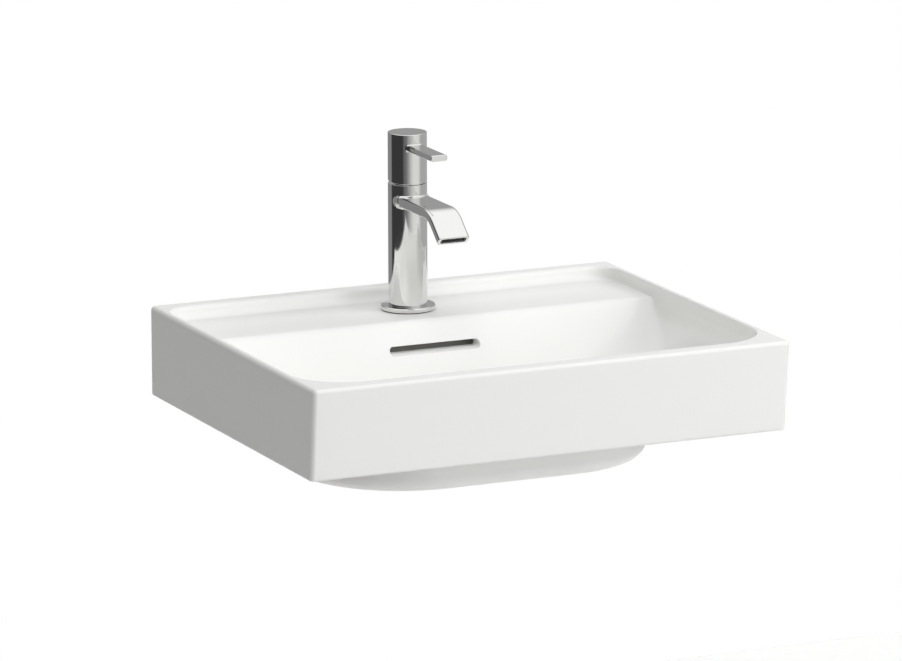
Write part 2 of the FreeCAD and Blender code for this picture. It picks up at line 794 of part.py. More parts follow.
def make_aerator():
    half = s.mouth_half - s.fit_gap
    deep = s.spout_thickness / 2 - s.mouth_wall - s.fit_gap
    inner_half = half - s.aerator_wall
    inner_deep = deep - s.aerator_wall
    low = s.aerator_inset
    high = low + s.aerator_length
    frame = block(half, deep, -deep, low, high)
    hole = block(inner_half, inner_deep, -inner_deep, zero, high + s.cut_overrun)
    in_mouth(cut(frame, hole), "aerator_housing")

    plate_low = low + s.aerator_wall
    plate = block(inner_half - s.thread_gap, inner_deep - s.thread_gap, s.thread_gap - inner_deep,
                  plate_low, plate_low + s.aerator_plate)
    slots = []
    pitch = inner_half * 2 / (aerator_slot_count + 1)
    for column in range(aerator_slot_count):
        middle = pitch * (column + 1) - inner_half
        slots.append(block(s.aerator_slot / 2, s.aerator_slot / 2, -s.aerator_slot / 2, plate_low,
                           plate_low + s.aerator_plate, middle))
    in_mouth(cut(plate, *slots), "aerator_insert")

    seal = cut(block(half, deep, -deep, high, high + s.aerator_seal_height),
               block(inner_half, inner_deep, -inner_deep, high, high + s.aerator_seal_height))
    in_mouth(seal, "aerator_seal")


# Ceramic cartridge in the body's chamber

def make_cartridge():
    base_low = s.chamber_floor + s.seal_height
    seals = [ring(s.inlet_radius + s.seal_wall, s.inlet_radius, zero, s.seal_height) for _ in range(2)]
    for seal, side in zip(seals, (s.inlet_spread, -s.inlet_spread)):
        place(seal, side, -s.inlet_forward, s.chamber_floor)
    on_deck(fuse(*seals), "cartridge_seals")

    base = cylinder(s.cartridge_radius, s.cartridge_base_top - base_low, base_low)
    waist = ring(s.cartridge_radius + s.cut_overrun, s.waist_radius, s.waist_low, s.waist_high)
    ports = [cylinder(s.port_radius, s.cartridge_base_top, zero, side, -s.inlet_forward)
             for side in (s.port_spread, -s.port_spread)]
    outlet = cylinder(s.port_radius, s.cartridge_base_top, s.waist_low, zero, s.port_spread)
    on_deck(cut(base, waist, outlet, *ports), "cartridge_base")

    disc_top = s.cartridge_base_top + s.disc_height
    fixed = cylinder(s.disc_radius, s.disc_height, s.cartridge_base_top)
    fixed_ports = [cylinder(s.port_radius, s.disc_height, s.cartridge_base_top, x, y)
                   for x, y in ((s.port_spread, -s.inlet_forward), (-s.port_spread, -s.inlet_forward),
                                (zero, s.port_spread))]
    on_deck(cut(fixed, *fixed_ports), "fixed_ceramic_disc")

    slider_low = disc_top + s.disc_film
    slider = cylinder(s.slider_radius, s.slider_height, slider_low)
    mixing = cylinder(s.slider_recess_radius, s.slider_recess_depth, slider_low)
    on_deck(cut(slider, mixing), "moving_ceramic_disc")
    carrier_low = slider_low + s.slider_height
    on_deck(ring(s.carrier_radius, s.ball_radius + s.ball_gap, carrier_low, carrier_low + s.carrier_height),
            "disc_carrier")

    plate_low = s.rotor_foot_high + s.rotor_gap
    housing_top = plate_low + s.housing_plate
    housing = cut(cylinder(s.cartridge_radius, housing_top - s.cartridge_base_top, s.cartridge_base_top),
                  cylinder(s.cartridge_bore, plate_low - s.cartridge_base_top, s.cartridge_base_top),
                  cylinder(s.rotor_radius + s.fit_gap, housing_top + s.cut_overrun))
    on_deck(housing, "cartridge_housing")

    rotor = cut(fuse(cylinder(s.disc_radius, s.rotor_foot_high - s.rotor_foot_low, s.rotor_foot_low),
                     cylinder(s.rotor_radius, s.rotor_top - s.rotor_foot_high, s.rotor_foot_high)),
                block(s.rotor_slot_half, s.rotor_slot_reach, -s.rotor_slot_reach, s.rotor_foot_low,
                      s.rotor_top + s.cut_overrun),
                cylinder(s.pivot_radius + s.pivot_gap / 2, s.body_radius * 2, s.body_top, -s.body_radius,
                         zero, "x"))
    on_deck(rotor, "cartridge_rotor")
    on_deck(common(cylinder(s.pivot_radius, s.body_radius * 2, s.body_top, -s.body_radius, zero, "x"),
                   cylinder(s.rotor_radius - s.fit_gap, s.rotor_top)), "rotor_pin")

    square = s.spindle_square / 2
    spindle = cut(fuse(sphere(s.ball_radius, s.ball_height),
                       cylinder(s.arm_radius, s.arm_top - s.ball_height, s.ball_height),
                       block(s.spindle_half, s.spindle_half, -s.spindle_half, s.arm_top - s.arm_radius,
                             s.spindle_shoulder),
                       block(square, square, -square, s.spindle_shoulder, s.spindle_top)),
                  cylinder(s.pivot_radius + s.pivot_gap, s.body_radius * 2, s.body_top, -s.body_radius,
                           zero, "x"))
    on_deck(spindle, "spindle")

    nut_top = housing_top + s.ring_nut_height
    on_deck(ring(s.chamber_radius - s.thread_gap, s.ring_nut_bore, housing_top, nut_top), "cartridge_nut")
    on_deck(ring(s.chamber_radius - s.fit_gap, s.cover_ring_bore, nut_top, nut_top + s.cover_ring_height),
            "cover_ring")


# Handle: a head of the body's own diameter, a flat lever and the screw that holds it to the spindle

def make_handle():
    low = s.body_top + s.head_front_gap
    straight = s.head_top - s.body_chamfer
    solid = fuse(cylinder(s.body_radius, straight - low, low),
                 cone(s.body_radius, s.body_radius - s.body_chamfer, s.body_chamfer, straight))
    bore = cut(cylinder(s.head_bore, s.head_bore_top - s.body_top, s.body_top),
               cylinder(s.hub_radius, s.head_bore_top - s.hub_low, s.hub_low))
    wedge = doc.addObject("Part::Wedge", "wedge")
    # The head's lower face slopes, so that the gap over the body opens towards the back.
    for name, value in (("Xmin", -s.body_radius * 2), ("X2min", -s.body_radius * 2),
                        ("Xmax", s.body_radius * 2), ("X2max", s.body_radius * 2),
                        ("Ymin", -s.body_radius), ("Ymax", s.body_radius),
                        ("Zmin", s.body_top - s.cut_overrun), ("Z2min", s.body_top - s.cut_overrun),
                        ("Zmax", s.body_top + s.head_front_gap), ("Z2max", s.body_top + s.head_back_gap)):
        wedge.setExpression(name, value.text)
    square = s.spindle_square / 2 + s.thread_gap
    socket = block(square, square, -square, s.hub_low, s.spindle_top + s.fit_gap)
    lever_top = s.lever_low + s.lever_thickness
    slot = block(s.lever_half + s.thread_gap, -s.lever_root, -s.body_radius * 2,
                 s.lever_low - s.thread_gap, lever_top + s.thread_gap)
    grub_height = s.hub_low + s.grub_rise
    screw_hole = cylinder(s.grub_radius + s.thread_gap, s.hub_radius * 2, grub_height, zero, zero, "y")
    key_hole = cylinder(s.screw_cap_radius + s.thread_gap, s.body_radius, grub_height, zero,
                        s.hub_radius * 2, "y")
    on_deck(cut(solid, bore, wedge, socket, slot, screw_hole, key_hole), "handle_cap")

    body = doc.addObject("PartDesign::Body", "handle_lever")
    section = rounded_outline(body, "lever_section", "XZ_Plane", s.lever_root + s.thread_gap, s.lever_half,
                              lever_top, s.lever_low, s.lever_round, s.lever_round)
    extrude(body, "Pad", "lever_bar", section, s.lever_reach - s.lever_root)
    on_deck(body, "handle_lever")

    grub_start = square + s.thread_gap
    screw = cut(cylinder(s.grub_radius, s.grub_length, grub_height, zero, grub_start, "y"),
                block(s.grub_key_half, grub_start + s.grub_length + s.cut_overrun,
                      grub_start + s.grub_length - s.grub_key_depth, grub_height - s.grub_key_half,
                      grub_height + s.grub_key_half))
    on_deck(screw, "handle_grub_screw")
    disc = common(cylinder(s.screw_cap_radius, s.body_radius - s.head_bore, grub_height, zero,
                           s.head_bore, "y"),
                  cylinder(s.body_radius - s.thread_gap, s.head_top))
    on_deck(disc, "grub_screw_cap")


def make_fixings():
    deck_under = -s.deck_thickness
    point = s.stud_point
    stud = fuse(cylinder(s.stud_radius, s.stud_into_body + s.stud_end - point * 2, point - s.stud_end),
                cone(s.stud_radius - point, s.stud_radius, point, -s.stud_end),
                cone(s.stud_radius, s.stud_radius - point, point, s.stud_into_body - point))
    finish(stud, "fixing_stud", y=s.stud_back - s.tap_setback, z=s.bolt_drop - s.deck_depth)

    def horseshoe(low, high):
        return cut(cylinder(s.clamp_radius, high - low, low),
                   block(s.clamp_slot_half, s.clamp_slot_back, -s.clamp_radius * 2, low, high),
                   cylinder(s.stud_radius + s.rotor_gap, high - low, low, zero, s.stud_back))

    washer_top = deck_under - s.clamp_gasket_height
    washer_low = washer_top - s.clamp_washer_height
    on_deck(horseshoe(washer_top, deck_under), "clamp_gasket")
    on_deck(horseshoe(washer_low, washer_top), "clamp_washer")
    nut_low = washer_low - s.fixing_nut_height
    on_deck(cut(hexagon(s.fixing_nut_corner, s.fixing_nut_height, nut_low, s.stud_back),
                cylinder(s.stud_radius + s.thread_gap, s.fixing_nut_height, nut_low, zero, s.stud_back)),
            "fixing_nut")


# Waste, drawn with its seat in the basin at zero height

def make_waste():
    flange_top = s.waste_gasket_height + s.waste_flange_height
    on_seat(ring(s.waste_gasket_radius, s.waste_radius + s.rotor_gap, zero, s.waste_gasket_height),
            "waste_top_gasket")
    thread_end = s.waste_tail_length - s.waste_end
    shell = fuse(cylinder(s.waste_flange_radius, s.waste_flange_height, s.waste_gasket_height),
                 cylinder(s.waste_radius, flange_top - thread_end, thread_end),
                 cylinder(s.waste_tail_radius, s.waste_tail_length, -s.waste_end))
    window_top = -(s.channel_top_drop - s.bowl_depth - s.seat_depth)
    window_low = window_top - s.channel_height
    reach = s.waste_radius + s.cut_overrun
    windows = [block(s.waste_window_half, reach, -reach, window_low, window_top),
               block(reach, s.waste_window_half, -s.waste_window_half, window_low, window_top)]
    tube = cut(shell, cylinder(s.waste_bore, s.waste_end * 2, -s.waste_end - s.cut_overrun), *windows)
    arm_reach = s.waste_bore + s.waste_gasket_height
    arms = cut(fuse(cylinder(s.spider_hub_radius, s.spider_low - s.spider_high, -s.spider_low),
                    block(s.spider_arm_half, arm_reach, -arm_reach, -s.spider_low, -s.spider_high),
                    block(arm_reach, s.spider_arm_half, -s.spider_arm_half, -s.spider_low, -s.spider_high)),
               cylinder(s.click_radius + s.thread_gap, s.waste_end, -s.waste_end))
    on_seat(fuse(tube, arms), "waste_body")

    pan_under = s.bowl_depth + s.seat_depth + s.nut_pocket_depth - s.pan_drop
    gasket_low = pan_under - s.lower_gasket_height
    washer_low = gasket_low - s.lower_washer_height
    nut_low = washer_low - s.waste_nut_height
    on_seat(ring(s.lower_gasket_radius, s.waste_radius + s.rotor_gap, gasket_low, pan_under),
            "waste_bottom_gasket")
    on_seat(ring(s.lower_washer_radius, s.waste_radius + s.fit_gap, washer_low, gasket_low), "waste_washer")
    on_seat(cut(hexagon(s.waste_nut_corner, s.waste_nut_height, nut_low),
                cylinder(s.waste_radius + s.thread_gap, s.waste_nut_height, nut_low)), "waste_nut")


def make_plug():
    flange_top = s.waste_gasket_height + s.waste_flange_height
    collar_low = -s.spider_high
    barrel = fuse(cylinder(s.click_radius, s.click_bottom - s.click_top, -s.click_bottom),
                  cylinder(s.click_collar_radius, s.click_collar_height, collar_low))
    bore = cylinder(s.click_bore, s.click_bottom, s.click_wall - s.click_bottom)
    on_seat(cut(barrel, bore), "click_housing")
    spring_radius = s.click_bore - s.fit_gap
    stem_end = -s.stem_low - s.click_wall
    on_seat(ring(spring_radius, spring_radius - s.spring_wall, s.click_wall - s.click_bottom, stem_end),
            "click_spring")

    seal_low = flange_top + s.disc_film
    cap_low = seal_low + s.plug_seal_height
    on_seat(fuse(cylinder(s.stem_radius, s.stem_low + cap_low, -s.stem_low),
                 cone(s.stem_radius - s.click_wall, s.stem_radius, s.click_wall, stem_end)), "plug_stem")
    on_seat(ring(s.plug_seal_radius, s.plug_seal_bore, seal_low, cap_low), "plug_seal")
    dome_top = cap_low + s.plug_edge_height + s.plug_dome_height
    dome_radius = (s.plug_radius * s.plug_radius / s.plug_dome_height + s.plug_dome_height) / 2
    cap = fuse(common(sphere(dome_radius, dome_top - dome_radius),
                      cylinder(s.plug_radius, dome_top - cap_low, cap_low)),
               ring(s.plug_boss_radius, s.stem_radius + s.thread_gap,
                    cap_low - s.plug_boss_length, cap_low))
    on_seat(cap, "plug_cap")


make_basin()
make_base()
make_tap_body()
make_spout()
make_aerator()
make_cartridge()
make_handle()
make_fixings()
make_waste()
make_plug()

doc.recompute()
os.makedirs("parts", exist_ok=True)
for obj in doc.Objects:
    for state in ("Invalid", "Error"):
        if state in obj.State:
            raise RuntimeError("%s (%s) is %s" % (obj.Name, obj.Label, state))
for obj in nodes:
    shape = obj.Shape
    if shape.isNull() or not shape.isValid():
        raise RuntimeError("%s has no valid shape" % obj.Label)
    shape.exportStep("parts/%s.step" % obj.Label)
    box = shape.BoundBox
    print("%-20s %2d solid %11.1f mm3  x %.1f..%.1f  y %.1f..%.1f  z %.1f..%.1f" % (
        obj.Label, len(shape.Solids), shape.Volume,
        box.XMin, box.XMax, box.YMin, box.YMax, box.ZMin, box.ZMax))
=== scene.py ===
import json
import math
from functools import cache

import bmesh
import bpy
from mathutils import Matrix, Quaternion, Vector


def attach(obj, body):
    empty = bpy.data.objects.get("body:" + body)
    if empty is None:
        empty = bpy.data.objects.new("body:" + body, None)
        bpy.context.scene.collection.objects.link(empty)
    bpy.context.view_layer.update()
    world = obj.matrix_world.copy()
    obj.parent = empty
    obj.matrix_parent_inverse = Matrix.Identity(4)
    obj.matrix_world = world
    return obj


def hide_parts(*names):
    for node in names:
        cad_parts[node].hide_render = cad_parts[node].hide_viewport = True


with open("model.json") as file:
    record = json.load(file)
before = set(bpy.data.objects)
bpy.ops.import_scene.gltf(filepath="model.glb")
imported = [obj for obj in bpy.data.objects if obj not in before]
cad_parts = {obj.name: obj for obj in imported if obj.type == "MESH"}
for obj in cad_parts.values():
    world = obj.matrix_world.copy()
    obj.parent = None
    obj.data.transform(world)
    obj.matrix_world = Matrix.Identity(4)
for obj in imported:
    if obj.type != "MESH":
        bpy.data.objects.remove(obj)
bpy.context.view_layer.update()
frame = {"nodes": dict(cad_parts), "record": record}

mm = 0.001

# Camera: a long lens from the left of the front

cameraFit = {
    "focal": 6983,  # pixels
    "imageWidth": 902,
    "sensor": 36,
    "azimuth": -24.324,  # degrees
    "elevation": 12.638,
    "roll": -0.174,
    "distance": 6.8005,
    "clipEnd": 50,
    "target": (-0.0165, -0.205, 0.05214),
}


def placeCamera():
    fit = cameraFit
    azimuth = math.radians(fit["azimuth"])
    elevation = math.radians(fit["elevation"])
    level = math.cos(elevation)
    away = Vector((math.sin(azimuth) * level, -math.cos(azimuth) * level, math.sin(elevation)))
    data = bpy.data.cameras.new("camera")
    data.sensor_width = fit["sensor"]
    data.lens = fit["focal"] * fit["sensor"] / fit["imageWidth"]
    data.clip_end = fit["clipEnd"]
    camera = bpy.data.objects.new("camera", data)
    camera.location = Vector(fit["target"]) + away * fit["distance"]
    turn = (-away).to_track_quat("-Z", "Y") @ Quaternion((0, 0, 1), math.radians(fit["roll"]))
    camera.rotation_euler = turn.to_euler()
    bpy.context.scene.collection.objects.link(camera)
    bpy.context.scene.camera = camera


placeCamera()
print("camera placed")


# Materials

def linear(hexColour):
    # sRGB hex to the linear values that Blender's sockets hold
    channels = [int(hexColour[i:i + 2], 16) / 255 for i in (0, 2, 4)]
    return [c / 12.92 if c <= 0.04045 else ((c + 0.055) / 1.055) ** 2.4 for c in channels] + [1]


def addNode(owner, kind, settings=None, inputs=None, links=None):
    # owner: a material, the world or a geometry tree; links: input name -> (node, output name)
    tree = getattr(owner, "node_tree", owner)
    node = tree.nodes.new(kind)
    for name, value in (settings or {}).items():
        setattr(node, name, value)
    for name, value in (inputs or {}).items():
        node.inputs[name].default_value = value
    for name, (source, output) in (links or {}).items():
        tree.links.new(source.outputs[output], node.inputs[name])
    return node


def newMaterial(name, hexColour, roughness, metallic=0.0, ior=None):
    material = bpy.data.materials.new(name)
    material.use_nodes = True
    shader = material.node_tree.nodes["Principled BSDF"]
    shader.inputs["Base Color"].default_value = linear(hexColour)
    shader.inputs["Roughness"].default_value = roughness
    shader.inputs["Metallic"].default_value = metallic
    if ior:
        shader.inputs["IOR"].default_value = ior
    return material, shader


def addGrain(material, shader, grain, depth, detail=2):
    # fine relief from noise, both sizes in millimetres
    place = addNode(material, "ShaderNodeTexCoord")
    noise = addNode(material, "ShaderNodeTexNoise", inputs={"Scale": 1 / (grain * mm), "Detail": detail},
                    links={"Vector": (place, "Object")})
    bump = addNode(material, "ShaderNodeBump", inputs={"Strength": 1, "Distance": depth * mm},
                   links={"Height": (noise, "Fac")})
    material.node_tree.links.new(bump.outputs["Normal"], shader.inputs["Normal"])
    return place


def varyRoughness(material, shader, place, patch, low, high):
    noise = addNode(material, "ShaderNodeTexNoise", inputs={"Scale": 1 / (patch * mm), "Detail": 3},
                    links={"Vector": (place, "Object")})
    spread = addNode(material, "ShaderNodeMapRange",
                     inputs={"From Min": 0.3, "From Max": 0.7, "To Min": low, "To Max": high},
                     links={"Value": (noise, "Fac")})
    material.node_tree.links.new(spread.outputs["Result"], shader.inputs["Roughness"])


def glazedVitreousChina():
    # dense white body under a clear fired glaze: soft white, with a gloss that its fine ripple breaks
    # at a low angle
    material, shader = newMaterial("glazedVitreousChina", "F0F0EE", 0.14, ior=1.5)
    place = addGrain(material, shader, 45, 0.008, 1)
    varyRoughness(material, shader, place, 55, 0.13, 0.16)
    # its mirroring is held back at a low angle
    facing = addNode(material, "ShaderNodeLayerWeight")
    level = addNode(material, "ShaderNodeMapRange",
                    inputs={"From Min": 0.55, "From Max": 0.76, "To Min": 0.5, "To Max": 0.035},
                    links={"Value": (facing, "Facing")})
    material.node_tree.links.new(level.outputs["Result"], shader.inputs["Specular IOR Level"])
    return material


def chromedBrass():
    # bright chrome plate on polished brass: a neutral mirror gloss
    material, shader = newMaterial("chromedBrass", "E5E5E4", 0.05, metallic=1)
    place = addGrain(material, shader, 26, 0.004, 1)
    varyRoughness(material, shader, place, 30, 0.035, 0.07)
    return material


def plainFinish(name, hexColour, roughness, metallic, ior, grain, depth):
    # ior None keeps the shader's own, as metals do
    material, shader = newMaterial(name, hexColour, roughness, metallic, ior)
    addGrain(material, shader, grain, depth)
    return material


# Tool marks, zinc crystals, mould texture and lapping are finer than these grains on the real pieces, and are
# drawn as coarse as they need to show
finishes = {
    "glazed_white": glazedVitreousChina(),
    "chrome_plate": chromedBrass(),
    # turned brass, unplated: warm, with fine tool marks
    "brass_plain": plainFinish("barBrass", "B8925A", 0.28, 1, None, 0.8, 0.01),
    # thin zinc on steel: pale grey with a soft sheen
    "zinc_steel": plainFinish("zincPlatedSteel", "A9ACB0", 0.32, 1, None, 1.2, 0.012),
    # moulded black rubber: matt, with a fine powdery grain
    "black_rubber": plainFinish("nitrileRubber", "161616", 0.62, 0, 1.52, 0.9, 0.02),
    # white acetal: smooth, waxy and slightly grey
    "white_plastic": plainFinish("mouldedAcetal", "DDDDD8", 0.38, 0, 1.48, 1.5, 0.01),
    # grey ABS with a fine eroded mould texture
    "grey_plastic": plainFinish("mouldedAbs", "4A4C4F", 0.45, 0, 1.54, 0.7, 0.015),
    # lapped alumina: off-white and satin
    "cartridge_ceramic": plainFinish("aluminaCeramic", "E6E3DA", 0.3, 0, 1.76, 0.5, 0.004),
}
# the overflow duct inside the clay, where the glaze doesn't reach: dull and sandy unglazed clay, its grey
# darkened beyond the clay's own tone as painted shade in the deep duct
ductClayShade = plainFinish("unglazedClayPaintedShade", "9A9894", 0.85, 0, 1.5, 1.2, 0.05)
print("materials made")


# Shared mesh tools

# How far softCorner is drawn into its corner: by a quarter of a circle, and by the softest edges of the clay
arcWeight, softWeight = 0.7071, 0.7


def mix(a, b, t):
    return a + (b - a) * t


def ease(t):
    t = min(1.0, max(0.0, t))
    return t * t * (3 - 2 * t)


def stretch(start, end, shares):
    return [tuple(mix(p, q, f) for p, q in zip(start, end)) for f in shares]


def inStep(count, *edges):
    # even shares of a line, with extra ones close to both of its ends
    return [*edges] + [i / count for i in range(1, count)] + [1 - share for share in reversed(edges)]


def quarterTurn(count, first=0):
    # sine and cosine at even steps through a quarter of a circle
    angles = [math.pi / 2 * i / count for i in range(first, count + 1)]
    return [(math.sin(angle), math.cos(angle)) for angle in angles]


def softCorner(start, corner, end, weight, count):
    # points between start and end on a curve that leaves both tangentially, both ends included
    points = []
    for i in range(count + 1):
        f = i / count
        a, c, e = (1 - f) * (1 - f), 2 * f * (1 - f) * weight, f * f
        points.append(tuple((a * p + c * q + e * r) / (a + c + e) for p, q, r in zip(start, corner, end)))
    return points


def metres(x, y, z):
    return x * mm, y * mm, z * mm


def addRing(bm, points):
    return [bm.verts.new(point) for point in points]


def bridgeRings(bm, rings, closed=False):
    pairs = list(zip(rings, rings[1:]))
    if closed:
        pairs.append((rings[-1], rings[0]))
    for first, second in pairs:
        for i in range(len(first)):
            j = (i + 1) % len(first)
            bm.faces.new((first[i], first[j], second[j], second[i]))


def fillRing(bm, ring, centre):
    # closes a ring with triangles to its middle
    hub = bm.verts.new(centre)
    for i, vertex in enumerate(ring):
        bm.faces.new((vertex, ring[(i + 1) % len(ring)], hub))


def weld(bm, distance):
    bmesh.ops.remove_doubles(bm, verts=bm.verts, dist=distance * mm)
    bmesh.ops.dissolve_degenerate(bm, edges=bm.edges, dist=distance * mm)


def finishPiece(mesh, name, slot, body, *nodes, sharpDeg=None):
    # edges sharper than sharpDeg stay crisp on a smooth piece; without it the faces stay flat
    if sharpDeg:
        mesh.shade_smooth()
        mesh.set_sharp_from_angle(angle=math.radians(sharpDeg))
    if not mesh.materials:
        mesh.materials.append(finishes[slot])
    piece = bpy.data.objects.new(name, mesh)
    bpy.context.scene.collection.objects.link(piece)
    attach(piece, body)
    if nodes:
        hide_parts(*nodes)
    return piece


def finishMesh(bm, name, slot, body, node, sharpDeg=32):
    weld(bm, 0.002)
    bmesh.ops.recalc_face_normals(bm, faces=bm.faces)
    mesh = bpy.data.meshes.new(name)
    bm.to_mesh(mesh)
    bm.free()
    return finishPiece(mesh, name, slot, body, node, sharpDeg=sharpDeg)


def boundaryLoop(faces):
    # the outer edge of a patch of faces, as vertices in order
    members = set(faces)
    follows = {}
    for face in faces:
        for loop in face.loops:
            if not any(other in members for other in loop.edge.link_faces if other is not face):
                follows[loop.vert] = loop.link_loop_next.vert
    start = next(iter(follows))
    ordered = [start]
    while follows[ordered[-1]] is not start:
        ordered.append(follows[ordered[-1]])
    return ordered


def joinHoles(bm, first, second):
    # walls between two holes with different numbers of points
    edges = []
    for ring in (first, second):
        for i, vertex in enumerate(ring):
            edges.append(bm.edges.get((vertex, ring[(i + 1) % len(ring)])))
    bmesh.ops.bridge_loops(bm, edges=edges)


# Basin: one closed skin, drawn as columns that run from the drain over the rim and back under the pan

basin = {
    # outside and recess, lengths in millimetres
    "half": 250, "depth": 410, "height": 90.3, "lean": 9, "corner": 5, "outerRound": 4, "lowerRound": 2.5,
    "recessHalf": 243, "recessBack": -19, "recessFront": -391.5, "backCorner": 27, "frontCorner": 55,
    "backInnerRound": 4.6, "innerRound": 2, "lipRound": 0.8,
    "deck": -13.5, "footRound": 8, "sideFootRound": 2,
    # the bowl's mouth with its soft edge, and a straight rear wall that eases into the table's shape
    "mouthBack": 115, "mouthRound": 10, "edgeSetback": 4.55, "edgeDrop": 0.86, "edgeWeight": 0.869,
    "wallLean": 0.595, "leanTo": 44, "leanFade": 20,
    "bowlDepth": 104, "floorHalf": 55, "floorBack": 180, "floorFront": 246,
    "drain": -215, "drainRadius": 23, "seatRadius": 33, "seat": -107, "nutPocket": 42, "nutPocketTop": -128.5,
    # half width, back, front and corner radius of the hollow behind the apron and of the pan
    "hollow": (238, -18, -398, 12), "pan": (184, -82, -317, 116),
    "roof": -25.5, "shell": 11, "ledge": 4, "panTop": -84, "panLow": -136.5, "panRound": 13,
    # the shell's bulge round the overflow duct, and how far it takes to fade sideways, forwards and upwards
    "bulge": 18, "bulgeHalf": 57, "bulgeSide": 18, "bulgeFront": 30, "bulgeTop": 24, "bulgeRise": 8,
    "tapHole": 17.5, "tapHoleWall": 4, "tapY": -65,
    "boltHole": 7, "boltHoleWall": 5, "boltX": 140, "boltZ": -58, "holeEdge": 0.5,
    "slotCore": 44.3, "slotRadius": 4.4, "slotZ": -39.8, "slotLip": 0.5, "slotDepth": 14, "slotDraft": 1.3,
    "ductReach": 49.9, "ductTop": 6.7, "ductLow": -38, "ductDepth": 21.9,
}
rim = 58  # the rim's height above the frame's zero
pinchY = -basin["mouthBack"] - basin["mouthRound"]  # where the mouth runs into the recess's side

# Columns along the half outline: back, back beside the corner, corner, side, long side, front corner, front
spans = [30, 26, 16, 16, 36, 20, 34]
splitX = 60  # where the first two spans meet
splitShare, backShare = 0.45, 0.81  # in the bowl, where they meet at the most and where the second ends
# The apron's corners are small, so its corner spans are shared out: before, round and after the corner
backCounts, frontCounts = (4, 8, 4), (6, 8, 6)

# Drop, half width, back and front as shares from mouth to floor, and the corner radii as shares of the length
bowlRows = [
    (0.000, 0.000, 0.000, 0.000, 0.036, 0.199),
    (0.204, 0.013, 0.169, 0.018, 0.099, 0.236),
    (0.403, 0.074, 0.331, 0.102, 0.191, 0.316),
    (0.580, 0.202, 0.477, 0.291, 0.304, 0.441),
    (0.724, 0.378, 0.600, 0.537, 0.410, 0.485),
    (0.845, 0.601, 0.723, 0.747, 0.470, 0.488),
    (0.934, 0.814, 0.831, 0.909, 0.473, 0.490),
    (0.978, 0.940, 0.930, 0.982, 0.475, 0.490),
    (1.000, 1.000, 1.000, 1.000, 0.480, 0.490),
]
shellShares = [(0.30, 0.90), (0.50, 0.50), (0.90, 0.50), (0.85, 0.60), (0.80, 0.70)]
# Drops of the skin's upper rows below the rim, closest where the overflow slot is cut
rowDrops = [18.6, 20.4, 22.6, 25, 27.4] + [29.4 + 1.7 * i for i in range(11)] + [49, 52, 55.5, 59, 62.5]
lowerRows = 26
evenFrom, evenRows = 2.2, 3.5  # the columns even out over these rows of the table
searchFrom, searchStep, roofStep = 4.0, 0.02, 0.005  # in rows, to find where the underside crosses a wall


def smoothRow(rows, t):
    # Catmull-Rom curve through a table's rows
    last = len(rows) - 1
    t = min(last, max(0, t))
    k = min(last - 1, int(t))
    f = t - k
    values = []
    for i in range(len(rows[0])):
        p1, p2 = rows[k][i], rows[k + 1][i]
        p0 = rows[k - 1][i] if k > 0 else 2 * p1 - p2
        p3 = rows[k + 2][i] if k + 2 <= last else 2 * p2 - p1
        bend = 2 * p0 - 5 * p1 + 4 * p2 - p3 + f * (3 * (p1 - p2) + p3 - p0)
        values.append(p1 + 0.5 * f * (p2 - p0 + f * bend))
    return values


def bowlSection(t):
    b = basin
    drop, half, back, front, backRound, frontRound = smoothRow(bowlRows, t)
    drop = mix(-b["deck"], b["bowlDepth"], drop)
    half = mix(b["recessHalf"], b["floorHalf"], half)
    straightBack = b["mouthBack"] + (drop + b["deck"]) * b["wallLean"]
    tableBack = mix(b["mouthBack"], b["floorBack"], back)
    back = mix(straightBack, tableBack, ease((drop - b["leanTo"]) / b["leanFade"]))
    front = mix(-b["recessFront"], b["floorFront"], front)
    length = front - back
    return drop, half, back, front, length * backRound, length * frontRound


def shellSection(t):
    drop, half, back, front, backRound, frontRound = bowlSection(t)
    out, down = (basin["shell"] * share for share in smoothRow(shellShares, t))
    return drop + down, half + out, back - out, front + out, backRound + out, frontRound + out


def outlineSpot(half, back, front, backRound, frontRound, s):
    # the point at arc length s from the back's middle, on a rounded rectangle; back and front as y
    quarter = math.pi / 2
    pieces = [half - backRound, quarter * backRound, back - front - backRound - frontRound,
              quarter * frontRound, half - frontRound]
    k = 0
    while k < 4 and s > pieces[k]:
        s -= pieces[k]
        k += 1
    if k == 0:
        return s, back
    if k == 1:
        angle = quarter - s / backRound
        return half - backRound + backRound * math.cos(angle), back - backRound + backRound * math.sin(angle)
    if k == 2:
        return half, back - backRound - s
    if k == 3:
        angle, radius = -s / frontRound, frontRound
        return half - radius + radius * math.cos(angle), front + radius + radius * math.sin(angle)
    return max(0.0, half - frontRound - s), front


def spread(stops):
    # arc lengths of all columns, from those at the ends of the spans
    lengths = []
    for start, end, count in zip(stops, stops[1:], spans):
        lengths += [mix(start, end, i / count) for i in range(count)]
    return lengths + [stops[-1]]


def bowlOutline(section, even):
    half, back, front, backRound, frontRound = section[1:]
    line = half - backRound
    first = min(splitX, splitShare * line)
    stops = [0, first, mix(first, line, backShare), line, line + math.pi / 2 * backRound]
    stops.append(stops[-1] + front - back - backRound - frontRound)
    stops.append(stops[-1] + math.pi / 2 * frontRound)
    stops.append(stops[-1] + half - frontRound)
    lengths = spread(stops)
    total = stops[-1]
    count = len(lengths) - 1
    lengths = [mix(s, total * i / count, even) for i, s in enumerate(lengths)]
    return [outlineSpot(half, -back, -front, backRound, frontRound, s) for s in lengths]


def evenness(t):
    return ease((t - evenFrom) / evenRows)


